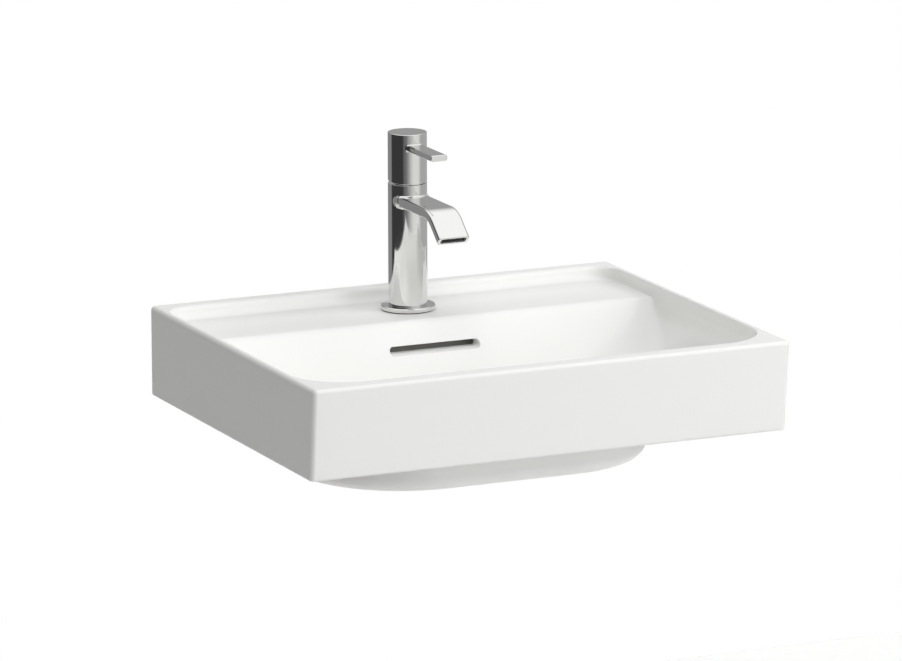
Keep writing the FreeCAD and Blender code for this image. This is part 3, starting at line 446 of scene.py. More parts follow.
def track(pieces):
    # points with outward directions along lines (start, end, count) and arcs (centre, radius, angles, count)
    spots = []
    for piece in pieces:
        if len(piece) == 3:
            (x0, y0), (x1, y1), count = piece
            length = math.hypot(x1 - x0, y1 - y0)
            for i in range(count):
                f = i / count
                spots.append((mix(x0, x1, f), mix(y0, y1, f), (y0 - y1) / length, (x1 - x0) / length))
        else:
            (x0, y0), radius, (startDeg, endDeg), count = piece
            for i in range(count):
                angle = math.radians(mix(startDeg, endDeg, i / count))
                spots.append((x0 + radius * math.cos(angle), y0 + radius * math.sin(angle),
                              math.cos(angle), math.sin(angle)))
    return spots + [(0.0, spots[-1][1], 0.0, -1.0)]


def recessTrack():
    b = basin
    w, back, front = b["recessHalf"], b["recessBack"], b["recessFront"]
    rb, rf = b["backCorner"], b["frontCorner"]
    return track([
        ((0, back), (splitX, back), spans[0]), ((splitX, back), (w - rb, back), spans[1]),
        ((w - rb, back - rb), rb, (90, 0), spans[2]), ((w, back - rb), (w, pinchY), spans[3]),
        ((w, pinchY), (w, front + rf), spans[4]), ((w - rf, front + rf), rf, (0, -90), spans[5]),
        ((w - rf, front), (0, front), spans[6])])


def apronTrack(z):
    b = basin
    w, r = b["half"], b["corner"]
    front = -b["depth"] - z * b["lean"] / b["height"]
    x1, y1 = b["recessHalf"] - b["backCorner"], b["recessBack"] - b["backCorner"]
    x2, y2 = b["recessHalf"] - b["frontCorner"], b["recessFront"] + b["frontCorner"]
    return track([
        ((0, 0), (splitX, 0), spans[0]), ((splitX, 0), (x1, 0), spans[1]),
        ((x1, 0), (w - r, 0), backCounts[0]), ((w - r, -r), r, (90, 0), backCounts[1]),
        ((w, -r), (w, y1), backCounts[2]), ((w, y1), (w, pinchY), spans[3]), ((w, pinchY), (w, y2), spans[4]),
        ((w, y2), (w, front + r), frontCounts[0]), ((w - r, front + r), r, (0, -90), frontCounts[1]),
        ((w - r, front), (x2, front), frontCounts[2]), ((x2, front), (0, front), spans[6])])


def roundedGap(x, y, half, back, front, corner):
    # how far a point lies outside a rounded rectangle, and the outward direction there
    dx = abs(x) - (half - corner)
    middle = (back + front) / 2
    dy = abs(y - middle) - ((back - front) / 2 - corner)
    if dx > 0 and dy > 0:
        away = math.hypot(dx, dy)
        nx, ny = dx / away, dy / away
        gap = away - corner
    elif dx > dy:
        nx, ny, gap = 1.0, 0.0, dx - corner
    else:
        nx, ny, gap = 0.0, 1.0, dy - corner
    return gap, math.copysign(nx, x), math.copysign(ny, y - middle)


def outlineLength(x, y, half, back, front, corner):
    # the arc length of a point on the half outline, counted from the back's middle
    quarter = math.pi / 2 * corner
    line = half - corner
    if y >= back - corner and x <= line:
        return x
    if y >= back - corner:
        return line + corner * (math.pi / 2 - math.atan2(y - back + corner, x - line))
    if y >= front + corner:
        return line + quarter + back - corner - y
    side = line + quarter + back - front - 2 * corner
    if x > line:
        return side + corner * math.atan2(front + corner - y, x - line)
    return side + quarter + line - x


def timeAt(drop):
    # the place in the bowl's table that is this deep, found by halving
    low, high = 0.0, len(bowlRows) - 1.0
    for step in range(40):
        middle = (low + high) / 2
        if bowlSection(middle)[0] < drop:
            low = middle
        else:
            high = middle
    return low


def bowlGrid():
    # rows of points from under the soft deck edge to the floor
    edgeDrop = -basin["deck"] + basin["edgeSetback"] * basin["edgeDrop"]
    times = [timeAt(drop) for drop in [edgeDrop] + rowDrops]
    start, end = times[-1], len(bowlRows) - 1
    times += [mix(start, end, i / lowerRows) for i in range(1, lowerRows + 1)]
    rows = []
    for t in times:
        section = bowlSection(t)
        rows.append([(x, y, -section[0]) for x, y in bowlOutline(section, evenness(t))])
    return rows


@cache
def shellRow(t):
    section = shellSection(t)
    return section[0], bowlOutline(section, evenness(t))


def shellSpot(i, t):
    # column i on the bowl's underside, pushed back where the overflow duct runs
    b = basin
    drop, outline = shellRow(round(t, 3))
    x, y = outline[i]
    sideways = 1 - ease((x - b["bulgeHalf"] + b["bulgeSide"] / 3) / b["bulgeSide"])
    bulge = b["bulge"] * sideways * ease((y - b["drain"]) / b["bulgeFront"])
    return x, y + bulge * ease((drop - b["bulgeTop"]) / b["bulgeRise"]), -drop


def outside(i, t, shape):
    # how far column i's underside lies outside the hollow or the pan
    return roundedGap(*shellSpot(i, t)[:2], *basin[shape])[0]


def skirtSpots():
    # for each column: where the underside leaves the hollow's roof, and the skirt's inner wall beyond it
    b = basin
    roofTime = 0.0
    while -shellSection(roofTime)[0] > b["roof"]:
        roofTime += roofStep
    roofTime = round(roofTime, 3)
    times, lengths = [], []
    for i in range(sum(spans) + 1):
        t = searchFrom
        while t > roofTime and outside(i, t, "hollow") < -b["ledge"]:
            t -= searchStep
        t = max(t, roofTime)
        times.append(t)
        crossed = outside(i, t, "hollow") >= -b["ledge"]
        lengths.append(outlineLength(*shellSpot(i, t)[:2], *b["hollow"]) if crossed else None)
    lengths[0] = 0.0
    known = [i for i, value in enumerate(lengths) if value is not None]
    for first, second in zip(known, known[1:]):
        for i in range(first + 1, second):
            lengths[i] = mix(lengths[first], lengths[second], (i - first) / (second - first))
    half, back, front, corner = b["hollow"]
    return times, [outlineSpot(half, back, front, corner, corner, s) for s in lengths]


def drainEdge(about, reach, floorZ):
    # from the drain's edge across the seat and over its soft edge onto the bowl's floor
    b = basin
    inner, edge, seat, soft = b["drainRadius"], b["seatRadius"], b["seat"], 0.6
    column = [about(radius, seat) for radius in (inner, inner + 0.3, edge - 0.3, edge)]
    column.append(about(edge, seat + 0.3))
    column += softCorner(about(edge, floorZ - soft), about(edge, floorZ), about(edge + soft, floorZ),
                         softWeight, 3)
    return column + [about(reach if reach > edge + 0.7 else edge + 0.65, floorZ)]


def underPan(i, t, about):
    # down the bowl's underside from t, over the pan's edge and into the pocket round the waste nut
    b = basin
    low = t
    while low < 7 and shellSpot(i, low)[2] > b["panTop"]:
        low += searchStep
    while low < 7.5 and outside(i, low, "pan") > 0:
        low += searchStep
    column = [shellSpot(i, mix(t, low, k / 24)) for k in range(25)]
    sx, sy, sz = column[-1]
    side = Vector((sx, sy - b["drain"])).normalized()
    reach = math.hypot(sx, sy - b["drain"])
    while roundedGap(side.x * reach, b["drain"] + side.y * reach, *b["pan"])[0] < 0:
        reach += 0.25
    px, py = side.x * reach, b["drain"] + side.y * reach
    gap, qx, qy = roundedGap(px, py, *b["pan"])
    px -= qx * gap
    py -= qy * gap
    r, bottom = b["panRound"], b["panLow"]
    under = (px - qx * r, py - qy * r, bottom)
    column += stretch((sx, sy, sz), (px, py, sz), inStep(2, 0.02) + [1])
    column += stretch((px, py, sz), (px, py, bottom + r), inStep(5, 0.02))
    column += softCorner((px, py, bottom + r), (px, py, bottom), under, arcWeight, 8)
    pocket, top, inner, soft = b["nutPocket"], b["nutPocketTop"], b["drainRadius"], 0.6
    column += stretch(under, about(pocket + soft, bottom), inStep(6))
    column += softCorner(about(pocket + soft, bottom), about(pocket, bottom), about(pocket, bottom + soft),
                         arcWeight, 3)
    return column + [about(radius, top) for radius in (pocket, pocket - 0.4, inner + 0.4, inner)]


def basinColumns():
    b = basin
    deckZ, foot = b["deck"], -b["height"]
    lowZ = foot + b["lowerRound"]
    recess = recessTrack()
    apronTop, apronRound, apronLow, apronFoot = (apronTrack(z) for z in (0, -b["outerRound"], lowZ, foot))
    pinchIndex = sum(spans[:4])
    mouth = bowlOutline(bowlSection(0), 0)
    mouth[pinchIndex:] = [spot[:2] for spot in recess[pinchIndex:]]
    bowl = bowlGrid()
    times, walls = skirtSpots()

    columns = []
    for i in range(sum(spans) + 1):
        x, y, z = bowl[-1][i]
        away = Vector((x, y - b["drain"]))
        reach = away.length
        away.normalize()

        def aboutDrain(radius, height):
            return away.x * radius, b["drain"] + away.y * radius, height

        column = drainEdge(aboutDrain, reach, z)
        # up the bowl
        column += [row[i] for row in bowl[-2:0:-1]]
        # over the soft edge onto the deck, whose edge sharpens along the side
        u = min(1, max(0, (i - sum(spans[:3])) / spans[3]))
        x, y = mouth[i]
        setback = b["edgeSetback"] * (1 - u) ** 2
        angle = math.radians(90 * (1 - u))
        across, back = (math.cos(angle), math.sin(angle)) if u > 0 else (0, 1)
        onDeck = (x + across * setback, y + back * setback, deckZ)
        column += softCorner(bowl[0][i], (x, y, deckZ), onDeck, mix(b["edgeWeight"], softWeight, u), 8)
        # across the deck to the foot of the wall
        rx, ry, nx, ny = recess[i]
        turned = ease((i - sum(spans[:2])) / spans[2])
        r = mix(b["footRound"], b["sideFootRound"], turned) * (1 - ease((u - 0.3) / 0.7))
        footPoint = (rx - nx * r, ry - ny * r, deckZ)
        wallStart = (rx, ry, deckZ + r)
        column += stretch(onDeck, footPoint, inStep(20, 0.01, 0.03))
        column += softCorner(footPoint, (rx, ry, deckZ), wallStart, arcWeight, 8)
        # up to the rim and over it
        r = mix(b["backInnerRound"], b["innerRound"], turned)
        innerTop = (rx + nx * r, ry + ny * r, 0)
        column += stretch(wallStart, (rx, ry, -r), [0.1, 0.3, 0.6, 0.9])
        column += softCorner((rx, ry, -r), (rx, ry, 0), innerTop, arcWeight, 6)
        r = b["outerRound"]
        ax, ay, mx, my = apronTop[i]
        outerTop = (ax - mx * r, ay - my * r, 0)
        outerLow = (*apronRound[i][:2], -r)
        column += stretch(innerTop, outerTop, [0.04, 0.3, 0.7, 0.96])
        column += softCorner(outerTop, (ax, ay, 0), outerLow, arcWeight, 8)
        # down the outside and under its edge
        r = b["lowerRound"]
        apronEnd = (*apronLow[i][:2], lowZ)
        dx, dy, mx, my = apronFoot[i]
        flat = (dx - mx * r, dy - my * r, foot)
        column += stretch(outerLow, apronEnd, inStep(14, 0.008))
        column += softCorner(apronEnd, (dx, dy, foot), flat, arcWeight, 6)
        # inside the skirt, under the deck and down the shell
        r = b["lipRound"]
        wx, wy = walls[i]
        hx, hy = roundedGap(wx, wy, *b["hollow"])[1:]
        lip = (wx + hx * r, wy + hy * r, foot)
        shellTop = shellSpot(i, times[i])
        meeting = (wx, wy, shellTop[2])
        column += stretch(flat, lip, inStep(2, 0.05))
        column += softCorner(lip, (wx, wy, foot), (wx, wy, foot + r), arcWeight, 3)
        column += stretch((wx, wy, foot + r), meeting, inStep(12, 0.02) + [1])
        column += stretch(meeting, shellTop, inStep(16, 0.01))
        column += underPan(i, times[i], aboutDrain)
        columns.append(column)
    return columns


def fromRim(spot):
    # a mesh point in millimetres, with its height counted from the rim
    return spot / mm - Vector((0, 0, rim))


def openHole(bm, pick, local, place, core, radius, lip, depth, draft=0):
    # cuts a round or oblong hole, straight over core to both sides: pick chooses its faces, local gives their
    # places in the plane, and place makes points of these
    patch = [face for face in bm.faces if pick(fromRim(face.calc_center_median()))]
    loop = boundaryLoop(patch)
    bmesh.ops.delete(bm, geom=patch, context="FACES")
    spots = []
    for vertex in loop:
        u, v = local(fromRim(vertex.co))
        middle = min(core, max(-core, u))
        length = math.hypot(u - middle, v)
        spots.append((middle, (u - middle) / length, v / length))
    steps = [(radius + lip + 0.3, 0)]
    steps += [(radius + lip * (1 - sine), lip * (1 - cosine)) for sine, cosine in quarterTurn(6)]
    steps += [(radius - draft * 0.1, lip + 0.2), (radius - draft, depth)]
    rings = [loop]
    for reach, sink in steps:
        ring = []
        for middle, du, dv in spots:
            x, y, z = place(middle + du * reach, dv * reach, sink)
            ring.append(metres(x, y, z + rim))
        rings.append(addRing(bm, ring))
    bridgeRings(bm, rings)
    return rings[-1]


def drillHole(bm, axis, levels, centre, radius, depth):
    # a round hole along y (axis 1) or z (axis 2), between the faces at two levels, the higher first
    across = 3 - axis
    ends = []
    for level, inwards in zip(levels, (-1, 1)):

        def local(c):
            return c.x - centre[0], c[across] - centre[1]

        def onFace(c):
            return abs(c[axis] - level) < 0.1 and math.hypot(*local(c)) < radius + 2

        def place(u, v, sink):
            spot = [centre[0] + u, 0, 0]
            spot[across] = centre[1] + v
            spot[axis] = level + inwards * sink
            return spot

        ends.append(openHole(bm, onFace, local, place, 0, radius, basin["holeEdge"], depth))
    joinHoles(bm, *ends)


def wallY(z):
    # the straight rear wall of the bowl
    return -basin["mouthBack"] + (z - basin["deck"]) * basin["wallLean"]


def openDuct(bm, throat):
    # the overflow duct behind the slot's throat: a wide flat chamber that follows the rear wall's slope
    b = basin
    slotHalf = b["slotCore"] + b["slotRadius"]
    start = b["slotDepth"] + 0.02
    middles = [vertex.co / mm - Vector((0, 0, rim + b["slotZ"])) for vertex in throat]
    rings = [throat]
    for depth, grown in ((start, 0.5), (start, 1), (b["ductDepth"], 1)):
        ring = []
        for spot in middles:
            share = max(abs(spot.x) / slotHalf, abs(spot.z) / b["slotRadius"])
            height = b["ductTop"] if spot.z > 0 else -b["ductLow"]
            x = mix(spot.x, b["ductReach"] * spot.x / slotHalf / share, grown)
            z = mix(spot.z, height * spot.z / b["slotRadius"] / share, grown)
            ring.append(metres(x, wallY(b["slotZ"] + z) + depth, rim + b["slotZ"] + z))
        rings.append(addRing(bm, ring))
    before = set(bm.faces)
    bridgeRings(bm, rings)
    bm.faces.new(rings[-1])
    # the duct's faces take the second finish: unglazed clay darkened as painted shade
    for face in set(bm.faces) - before:
        face.material_index = 1


def buildBasin():
    b = basin
    bm = bmesh.new()
    columns = basinColumns()
    columns += [[(-x, y, z) for x, y, z in column] for column in columns[-2:0:-1]]
    grid = [addRing(bm, [metres(x, y, z + rim) for x, y, z in column]) for column in columns]
    for first, second in zip(grid, grid[1:] + grid[:1]):
        for k in range(len(first)):
            m = (k + 1) % len(first)
            bm.faces.new((first[k], second[k], second[m], first[m]))
    weld(bm, 0.004)

    slotZ = b["slotZ"]
    margin = b["slotRadius"] + b["slotLip"] + 1.4

    def onSlot(c):
        onWall = -60 < c.z < -20 and abs(c.y - wallY(c.z)) < 0.3
        return onWall and math.hypot(max(0, abs(c.x) - b["slotCore"]), c.z - slotZ) < margin

    throat = openHole(
        bm, onSlot, lambda c: (c.x, c.z - slotZ), lambda u, v, sink: (u, wallY(slotZ + v) + sink, slotZ + v),
        b["slotCore"], b["slotRadius"], b["slotLip"], b["slotDepth"], b["slotDraft"])
    openDuct(bm, throat)
    drillHole(bm, 2, (b["deck"], b["roof"]), (0, b["tapY"]), b["tapHole"], b["tapHoleWall"])
    for x in (-b["boltX"], b["boltX"]):
        drillHole(bm, 1, (0, b["hollow"][1]), (x, b["boltZ"]), b["boltHole"], b["boltHoleWall"])
    print("basin faces", len(bm.faces), "open edges", sum(len(e.link_faces) != 2 for e in bm.edges))
    piece = finishMesh(bm, "basinGlaze", "glazed_white", "fixed", "basin", sharpDeg=38)
    # second finish, for the duct: unglazed clay darkened as painted shade
    piece.data.materials.append(ductClayShade)


buildBasin()
print("basin made")


# Turned pieces

deck = rim + basin["deck"]
tapAxis = basin["tapY"]
drainAxis = basin["drain"]
seatHeight = rim + basin["seat"]
support = 0.15  # how close extra points stand to the ends of a long line
roundCount = 160  # points round the tap, the handle and the plug


def supported(profile, closed):
    # points beside the ends of each long line, so that flat walls stay flat in reflections
    points = []
    for i, start in enumerate(profile):
        points.append(start)
        if i == len(profile) - 1 and not closed:
            continue
        end = profile[(i + 1) % len(profile)]
        length = math.dist(start, end)
        if length > 1:
            points += stretch(start, end, inStep(1, support / length))
    return points


def turnedRing(radius, axis, segments, heightAt):
    angles = [2 * math.pi * i / segments for i in range(segments)]
    return [metres(radius * math.cos(angle), axis + radius * math.sin(angle), heightAt(angle))
            for angle in angles]


def lathe(name, slot, body, node, profile, axis, base, segments=roundCount, sharpDeg=32):
    # profile: closed line of (radius, height) points, or one that ends on the axis
    bm = bmesh.new()
    hollow = profile[0][0] > 0
    rings = [addRing(bm, turnedRing(radius, axis, segments, lambda angle: base + height))
             for radius, height in supported(profile, hollow)]
    bridgeRings(bm, rings, closed=hollow)
    finishMesh(bm, name, slot, body, node, sharpDeg=sharpDeg)


def rounded(corners, radii):
    # a line through corners, with a radius at each
    points = []
    for i, (place, radius) in enumerate(zip(corners, radii)):
        if not radius:
            points.append(place)
            continue
        corner = Vector(place)
        toBefore = (Vector(corners[i - 1]) - corner).normalized()
        toAfter = (Vector(corners[(i + 1) % len(corners)]) - corner).normalized()
        half = toBefore.angle(toAfter) / 2
        setback = radius / math.tan(half)
        start, end = corner + toBefore * setback, corner + toAfter * setback
        points += softCorner(start, place, end, math.sin(half), 5)
    return points


tap = {
    "flangeRadius": 27.5, "flangeTop": 5, "flangeChamfer": 0.8, "spigot": 15, "gasket": 1,
    "bodyRadius": 19.4, "bodyTop": 128, "chamber": 14.4, "chamberFloor": 92, "play": 0.1,
    # radii at the corners of the two profiles, in their order
    "flangeRounds": [0, 0.25, 0.3, 0.3, 0], "columnRounds": [0, 0.3, 0, 0.25, 0.4, 0.3, 0, 0],
}


def buildTapBody():
    t = tap
    low, top, bevel, hole = t["gasket"], t["flangeTop"], t["flangeChamfer"], t["spigot"] + t["play"]
    flange = [(hole, low), (t["flangeRadius"], low), (t["flangeRadius"], top - bevel),
              (t["flangeRadius"] - bevel, top), (hole, top)]
    lathe("tapFlange", "chrome_plate", "fixed", "tap_base_flange",
          rounded(flange, t["flangeRounds"]), tapAxis, deck, 128)
    column = [(0, low), (t["spigot"], low), (t["spigot"], top), (t["bodyRadius"], top),
              (t["bodyRadius"], t["bodyTop"]), (t["chamber"], t["bodyTop"]),
              (t["chamber"], t["chamberFloor"]), (0, t["chamberFloor"])]
    lathe("tapColumn", "chrome_plate", "fixed", "tap_body",
          rounded(column, t["columnRounds"]), tapAxis, deck)


# Spout and lever: flat bands with soft edges that grow out of the round body

def bandOutline(half, top, low, upperRound, lowerRound, sides, across):
    # one cross-section as (x, inward) points; inward runs from the band's top face
    def onTurn(x, n, radius, degrees):
        angle = math.radians(degrees)
        return x + radius * math.cos(angle), n + radius * math.sin(angle)

    # each corner's centre, radius and the angle where its quarter turn starts
    right, left = (half - upperRound, half - lowerRound), (lowerRound - half, upperRound - half)
    upper, lower = top + upperRound, low - lowerRound
    corners = [(right[0], upper, upperRound, -90), (right[1], lower, lowerRound, 0),
               (left[0], lower, lowerRound, 90), (left[1], upper, upperRound, 180)]
    points = []
    for (x, n, radius, start), count, after in zip(corners, (sides, across) * 2, corners[1:] + corners[:1]):
        points += [onTurn(x, n, radius, start + 15 * i) for i in range(7)]
        points += stretch(points[-1], onTurn(*after), inStep(count, 0.03))
    return points


def growBand(name, body, node, stations, outlines, section, top, radius, collar, root):
    # stations: (y, z, turn in radians) on the band's top face, each with an outline; section(inset) gives the
    # outline that swells into a hollow fillet where the band leaves the round body
    bm = bmesh.new()
    rings = []
    for (y, z, turn), outline in zip(stations, outlines):
        rings.append(addRing(bm, [metres(x, tapAxis + y + n * math.sin(turn), deck + z - n * math.cos(turn))
                                  for x, n in outline]))
    bridgeRings(bm, rings)
    steps = [(collar, None), (collar, -0.3)]
    steps += [(collar * (1 - sine), collar * (1 - cosine)) for sine, cosine in quarterTurn(8)]
    steps.append((0, collar + 0.2))
    fillet = []
    for grown, away in steps:
        ring = []
        for x, n in section(-grown):
            y = -root if away is None else -math.sqrt((radius + away) ** 2 - x * x)
            ring.append(metres(x, tapAxis + y, deck + top - n))
        fillet.append(addRing(bm, ring))
    bridgeRings(bm, fillet + rings[:1])
    for ring in (fillet[0], rings[-1]):
        bm.faces.new(ring)
    finishMesh(bm, name, "chrome_plate", body, node)


spout = {
    "half": 16.5, "thickness": 10.3, "top": 116.5, "bendReach": 86.6, "tipReach": 113.2, "tipDrop": 22.9,
    "bend": 35, "edge": 3.4, "lowerEdge": 3.8, "root": 12, "tipRound": 0.6, "collar": 2,
    "mouthHalf": 13.5, "mouthWall": 1.9, "mouthRound": 2.2, "mouthDepth": 7.2, "mouthEdge": 0.35,
}
tipSlope = math.atan2(spout["tipDrop"], spout["tipReach"] - spout["bendReach"])


def buildSpout():
    s = spout
    bendStart = -s["bendReach"] + s["bend"] * math.tan(tipSlope / 2)
    stations = [(mix(-tap["bodyRadius"] - s["collar"] - 1, bendStart, i / 8), s["top"], 0) for i in range(8)]
    for i in range(25):
        turn = tipSlope * i / 24
        y, z = bendStart - s["bend"] * math.sin(turn), s["top"] - s["bend"] * (1 - math.cos(turn))
        stations.append((y, z, turn))
    startY, startZ, turn = stations[-1]
    tipY, tipZ = -s["tipReach"], s["top"] - s["tipDrop"]
    r, e = s["tipRound"], s["mouthEdge"]
    length = math.hypot(tipY - startY, tipZ - startZ)
    for share in (0.25, 0.5, 0.75, 0.93, 1 - r / length):
        stations.append((mix(startY, tipY, share), mix(startZ, tipZ, share), tipSlope))

    def section(inset):
        return bandOutline(s["half"] - inset, inset, s["thickness"] - inset, s["edge"] - inset,
                           max(0.5, s["lowerEdge"] - inset), 2, 10)

    def mouth(grow):
        wall, turn = s["mouthWall"] - grow, s["mouthRound"] + grow
        return bandOutline(s["mouthHalf"] + grow, wall, s["thickness"] - wall, turn, turn, 2, 10)

    outlines = [section(0)] * len(stations)
    # the rounded tip and the mouth in it, as (distance back from the end face, outline)
    tip = [(r * (1 - sine), section(r * (1 - cosine))) for sine, cosine in quarterTurn(5, 1)]
    tip.append((0, mouth(e + 0.1)))
    tip += [(e * (1 - cosine), mouth(e * (1 - sine))) for sine, cosine in quarterTurn(4)]
    tip += [(e + 0.3, mouth(0)), (s["mouthDepth"], mouth(0))]
    for back, outline in tip:
        stations.append((tipY + back * math.cos(tipSlope), tipZ + back * math.sin(tipSlope), tipSlope))
        outlines.append(outline)
    growBand("spoutBand", "fixed", "tap_spout", stations, outlines, section,
             s["top"], tap["bodyRadius"], s["collar"], s["root"])


handle = {
    "radius": 19.4, "top": 178.9, "frontLow": 128.4, "backLow": 132.4, "bore": 17.5, "boreTop": 160,
    "topEdge": 0.7, "lowEdge": 0.3,
    "leverHalf": 8.8, "leverLow": 162.5, "leverThickness": 6.3, "leverReach": 77, "leverRoot": 12,
    "leverRound": 2.3, "tipRound": 0.9, "collar": 1.1,
}


def buildHandle():
    h = handle
    radius, bore, low, edge = h["radius"], h["bore"], h["lowEdge"], h["topEdge"]
    middle, slant = (h["frontLow"] + h["backLow"]) / 2, (h["backLow"] - h["frontLow"]) / 2
    # rings as (radius, height, rise above the slanting foot), with either a height or a rise
    steps = [(bore, h["boreTop"], None), (bore, None, 0.4), (bore, None, 0.05), (radius - low, None, 0)]
    steps += [(radius - low + low * sine, None, low * (1 - cosine)) for sine, cosine in quarterTurn(3, 1)]
    steps += [(radius, None, 1), (radius, h["top"] - 8, None), (radius, h["top"] - edge - 0.3, None)]
    steps += [(radius - edge + edge * cosine, h["top"] - edge + edge * sine, None)
              for sine, cosine in quarterTurn(6)]
    steps.append((radius - edge - 0.4, h["top"], None))
    bm = bmesh.new()
    rings = []
    for reach, height, rise in steps:

        def heightAt(angle):
            if height is not None:
                return deck + height
            return deck + (middle + slant * math.sin(angle) * reach / radius + rise)

        rings.append(addRing(bm, turnedRing(reach, tapAxis, roundCount, heightAt)))
    bridgeRings(bm, rings)
    for ring, z in ((rings[0], h["boreTop"]), (rings[-1], h["top"])):
        fillRing(bm, ring, metres(0, tapAxis, deck + z))
    finishMesh(bm, "handleHead", "chrome_plate", "handle", "handle_cap")

    reach, r, collar = h["leverReach"], h["tipRound"], h["collar"]
    # the lever's outlines as (y, inset)
    steps = [(-radius - collar - 1, 0), (-23, 0), (-45, 0), (-reach + 6, 0), (-reach + r + 0.2, 0)]
    steps += [(-reach + r * (1 - sine), r * (1 - cosine)) for sine, cosine in quarterTurn(6)]
    steps.append((-reach, r + 0.4))

    def section(inset):
        turn = max(0.4, h["leverRound"] - inset)
        return bandOutline(h["leverHalf"] - inset, inset, h["leverThickness"] - inset, turn, turn, 4, 8)

    top = h["leverLow"] + h["leverThickness"]
    growBand("handleLever", "handle", "handle_lever", [(y, top, 0) for y, inset in steps],
             [section(inset) for y, inset in steps], section, top, radius, collar, h["leverRoot"])


plug = {
    "radius": 31.5, "low": 5.1, "edge": 2.5, "dome": 2.5, "lowBevel": 0.5, "wallTop": 1.2,
    "boss": 6, "bossLow": -4, "bore": 3.45, "boreDepth": 4,
    # the shoulder starts this far in and up, and rolls over by this run and rise into the dome
    "shoulderIn": 0.12, "shoulderUp": 1.8, "shoulderRun": 1.4, "shoulderRise": 0.85, "shoulderTurn": 0.93,
}


def buildPlug():
    p = plug
    radius, low, boss, bossLow, bore = p["radius"], p["low"], p["boss"], p["bossLow"], p["bore"]
    top = low + p["edge"] + p["dome"]
    ball = (radius ** 2 / p["dome"] + p["dome"]) / 2
    inner, shoulder = radius - p["shoulderIn"], low + p["shoulderUp"]
    profile = [(0, bossLow + p["boreDepth"]), (bore, bossLow + p["boreDepth"]), (bore, bossLow),
               (boss, bossLow), (boss, low), (radius - p["lowBevel"], low), (radius, low + p["lowBevel"]),
               (radius, low + p["wallTop"]), (inner, shoulder)]
    for i in range(1, 7):
        angle = math.pi / 2 * i / 6
        profile.append((inner - p["shoulderRun"] * (1 - math.cos(angle * p["shoulderTurn"])),
                        shoulder + p["shoulderRise"] * math.sin(angle)))
    start, rise = profile[-1]
    offset = rise - (top - ball + math.sqrt(ball * ball - start * start))
    for i in range(1, 25):
        reach = start * (1 - i / 24)
        fade = (reach / start) ** 6
        profile.append((reach, top - ball + math.sqrt(ball * ball - reach * reach) + offset * fade))
    lathe("plugCap", "chrome_plate", "plug", "plug_cap", profile, drainAxis, seatHeight, sharpDeg=40)


buildTapBody()
buildSpout()
buildHandle()
buildPlug()
print("tap and plug made")


# Small parts keep their CAD shape, with edges broken and round faces smooth

trimmed = {
    # piece: node, finish, how far its edges are broken
    "wasteNutHex": ("waste_nut", "brass_plain", 0.4),
    "fixingNutHex": ("fixing_nut", "zinc_steel", 0.3),
    "clampPlate": ("clamp_washer", "zinc_steel", 0.25),
    "wasteSlipRing": ("waste_washer", "white_plastic", 0.3),
}


def trimCopy(name, node, slot, edge):
    bm = bmesh.new()
    bm.from_mesh(frame["nodes"][node].data)
    bmesh.ops.remove_doubles(bm, verts=bm.verts, dist=0.003 * mm)
    bmesh.ops.recalc_face_normals(bm, faces=bm.faces)
    corners = [e for e in bm.edges if len(e.link_faces) == 2 and e.calc_face_angle() > math.radians(30)]
    bmesh.ops.bevel(bm, geom=corners, offset=edge * mm, segments=2, profile=0.5, affect="EDGES",
                    clamp_overlap=True)
    finishMesh(bm, name, slot, "fixed", node, sharpDeg=30)


for pieceName, (node, slot, edge) in trimmed.items():
    trimCopy(pieceName, node, slot, edge)
print("nuts and washers made")


# What repeats or follows a path is grown with Geometry Nodes, then kept as a plain mesh

def newTree(name, sizes):
    # a geometry tree with a named input for each size
    tree = bpy.data.node_groups.new(name, "GeometryNodeTree")
    for label, value in sizes.items():
        kind = "NodeSocketInt" if isinstance(value, int) else "NodeSocketFloat"
        tree.interface.new_socket(label, in_out="INPUT", socket_type=kind).default_value = value
    tree.interface.new_socket("Geometry", in_out="OUTPUT", socket_type="NodeSocketGeometry")
    return tree, tree.nodes.new("NodeGroupInput")


def endTree(tree, last, output, slot):
    whole = addNode(tree, "GeometryNodeRealizeInstances", links={"Geometry": (last, output)})
    dressed = addNode(tree, "GeometryNodeSetMaterial", inputs={"Material": finishes[slot]},
                      links={"Geometry": (whole, "Geometry")})
    tree.links.new(dressed.outputs["Geometry"], tree.nodes.new("NodeGroupOutput").inputs[0])


def inMetres(sizes):
    # counts stay as they are
    return {label: value if isinstance(value, int) else value * mm for label, value in sizes.items()}


def growMesh(tree, sizes, place):
    # runs a tree with these sizes and gives its mesh, moved to its place
    holder = bpy.data.objects.new(tree.name, bpy.data.meshes.new(tree.name))
    bpy.context.scene.collection.objects.link(holder)
    modifier = holder.modifiers.new("shape", "NODES")
    modifier.node_group = tree
    sockets = {item.name: item.identifier for item in tree.interface.items_tree if item.in_out == "INPUT"}
    for label, value in sizes.items():
        modifier[sockets[label]] = value
    graph = bpy.context.evaluated_depsgraph_get()
    mesh = bpy.data.meshes.new_from_object(holder.evaluated_get(graph))
    holder.modifiers.remove(modifier)
    bpy.data.objects.remove(holder)
    mesh.transform(place)
    return mesh


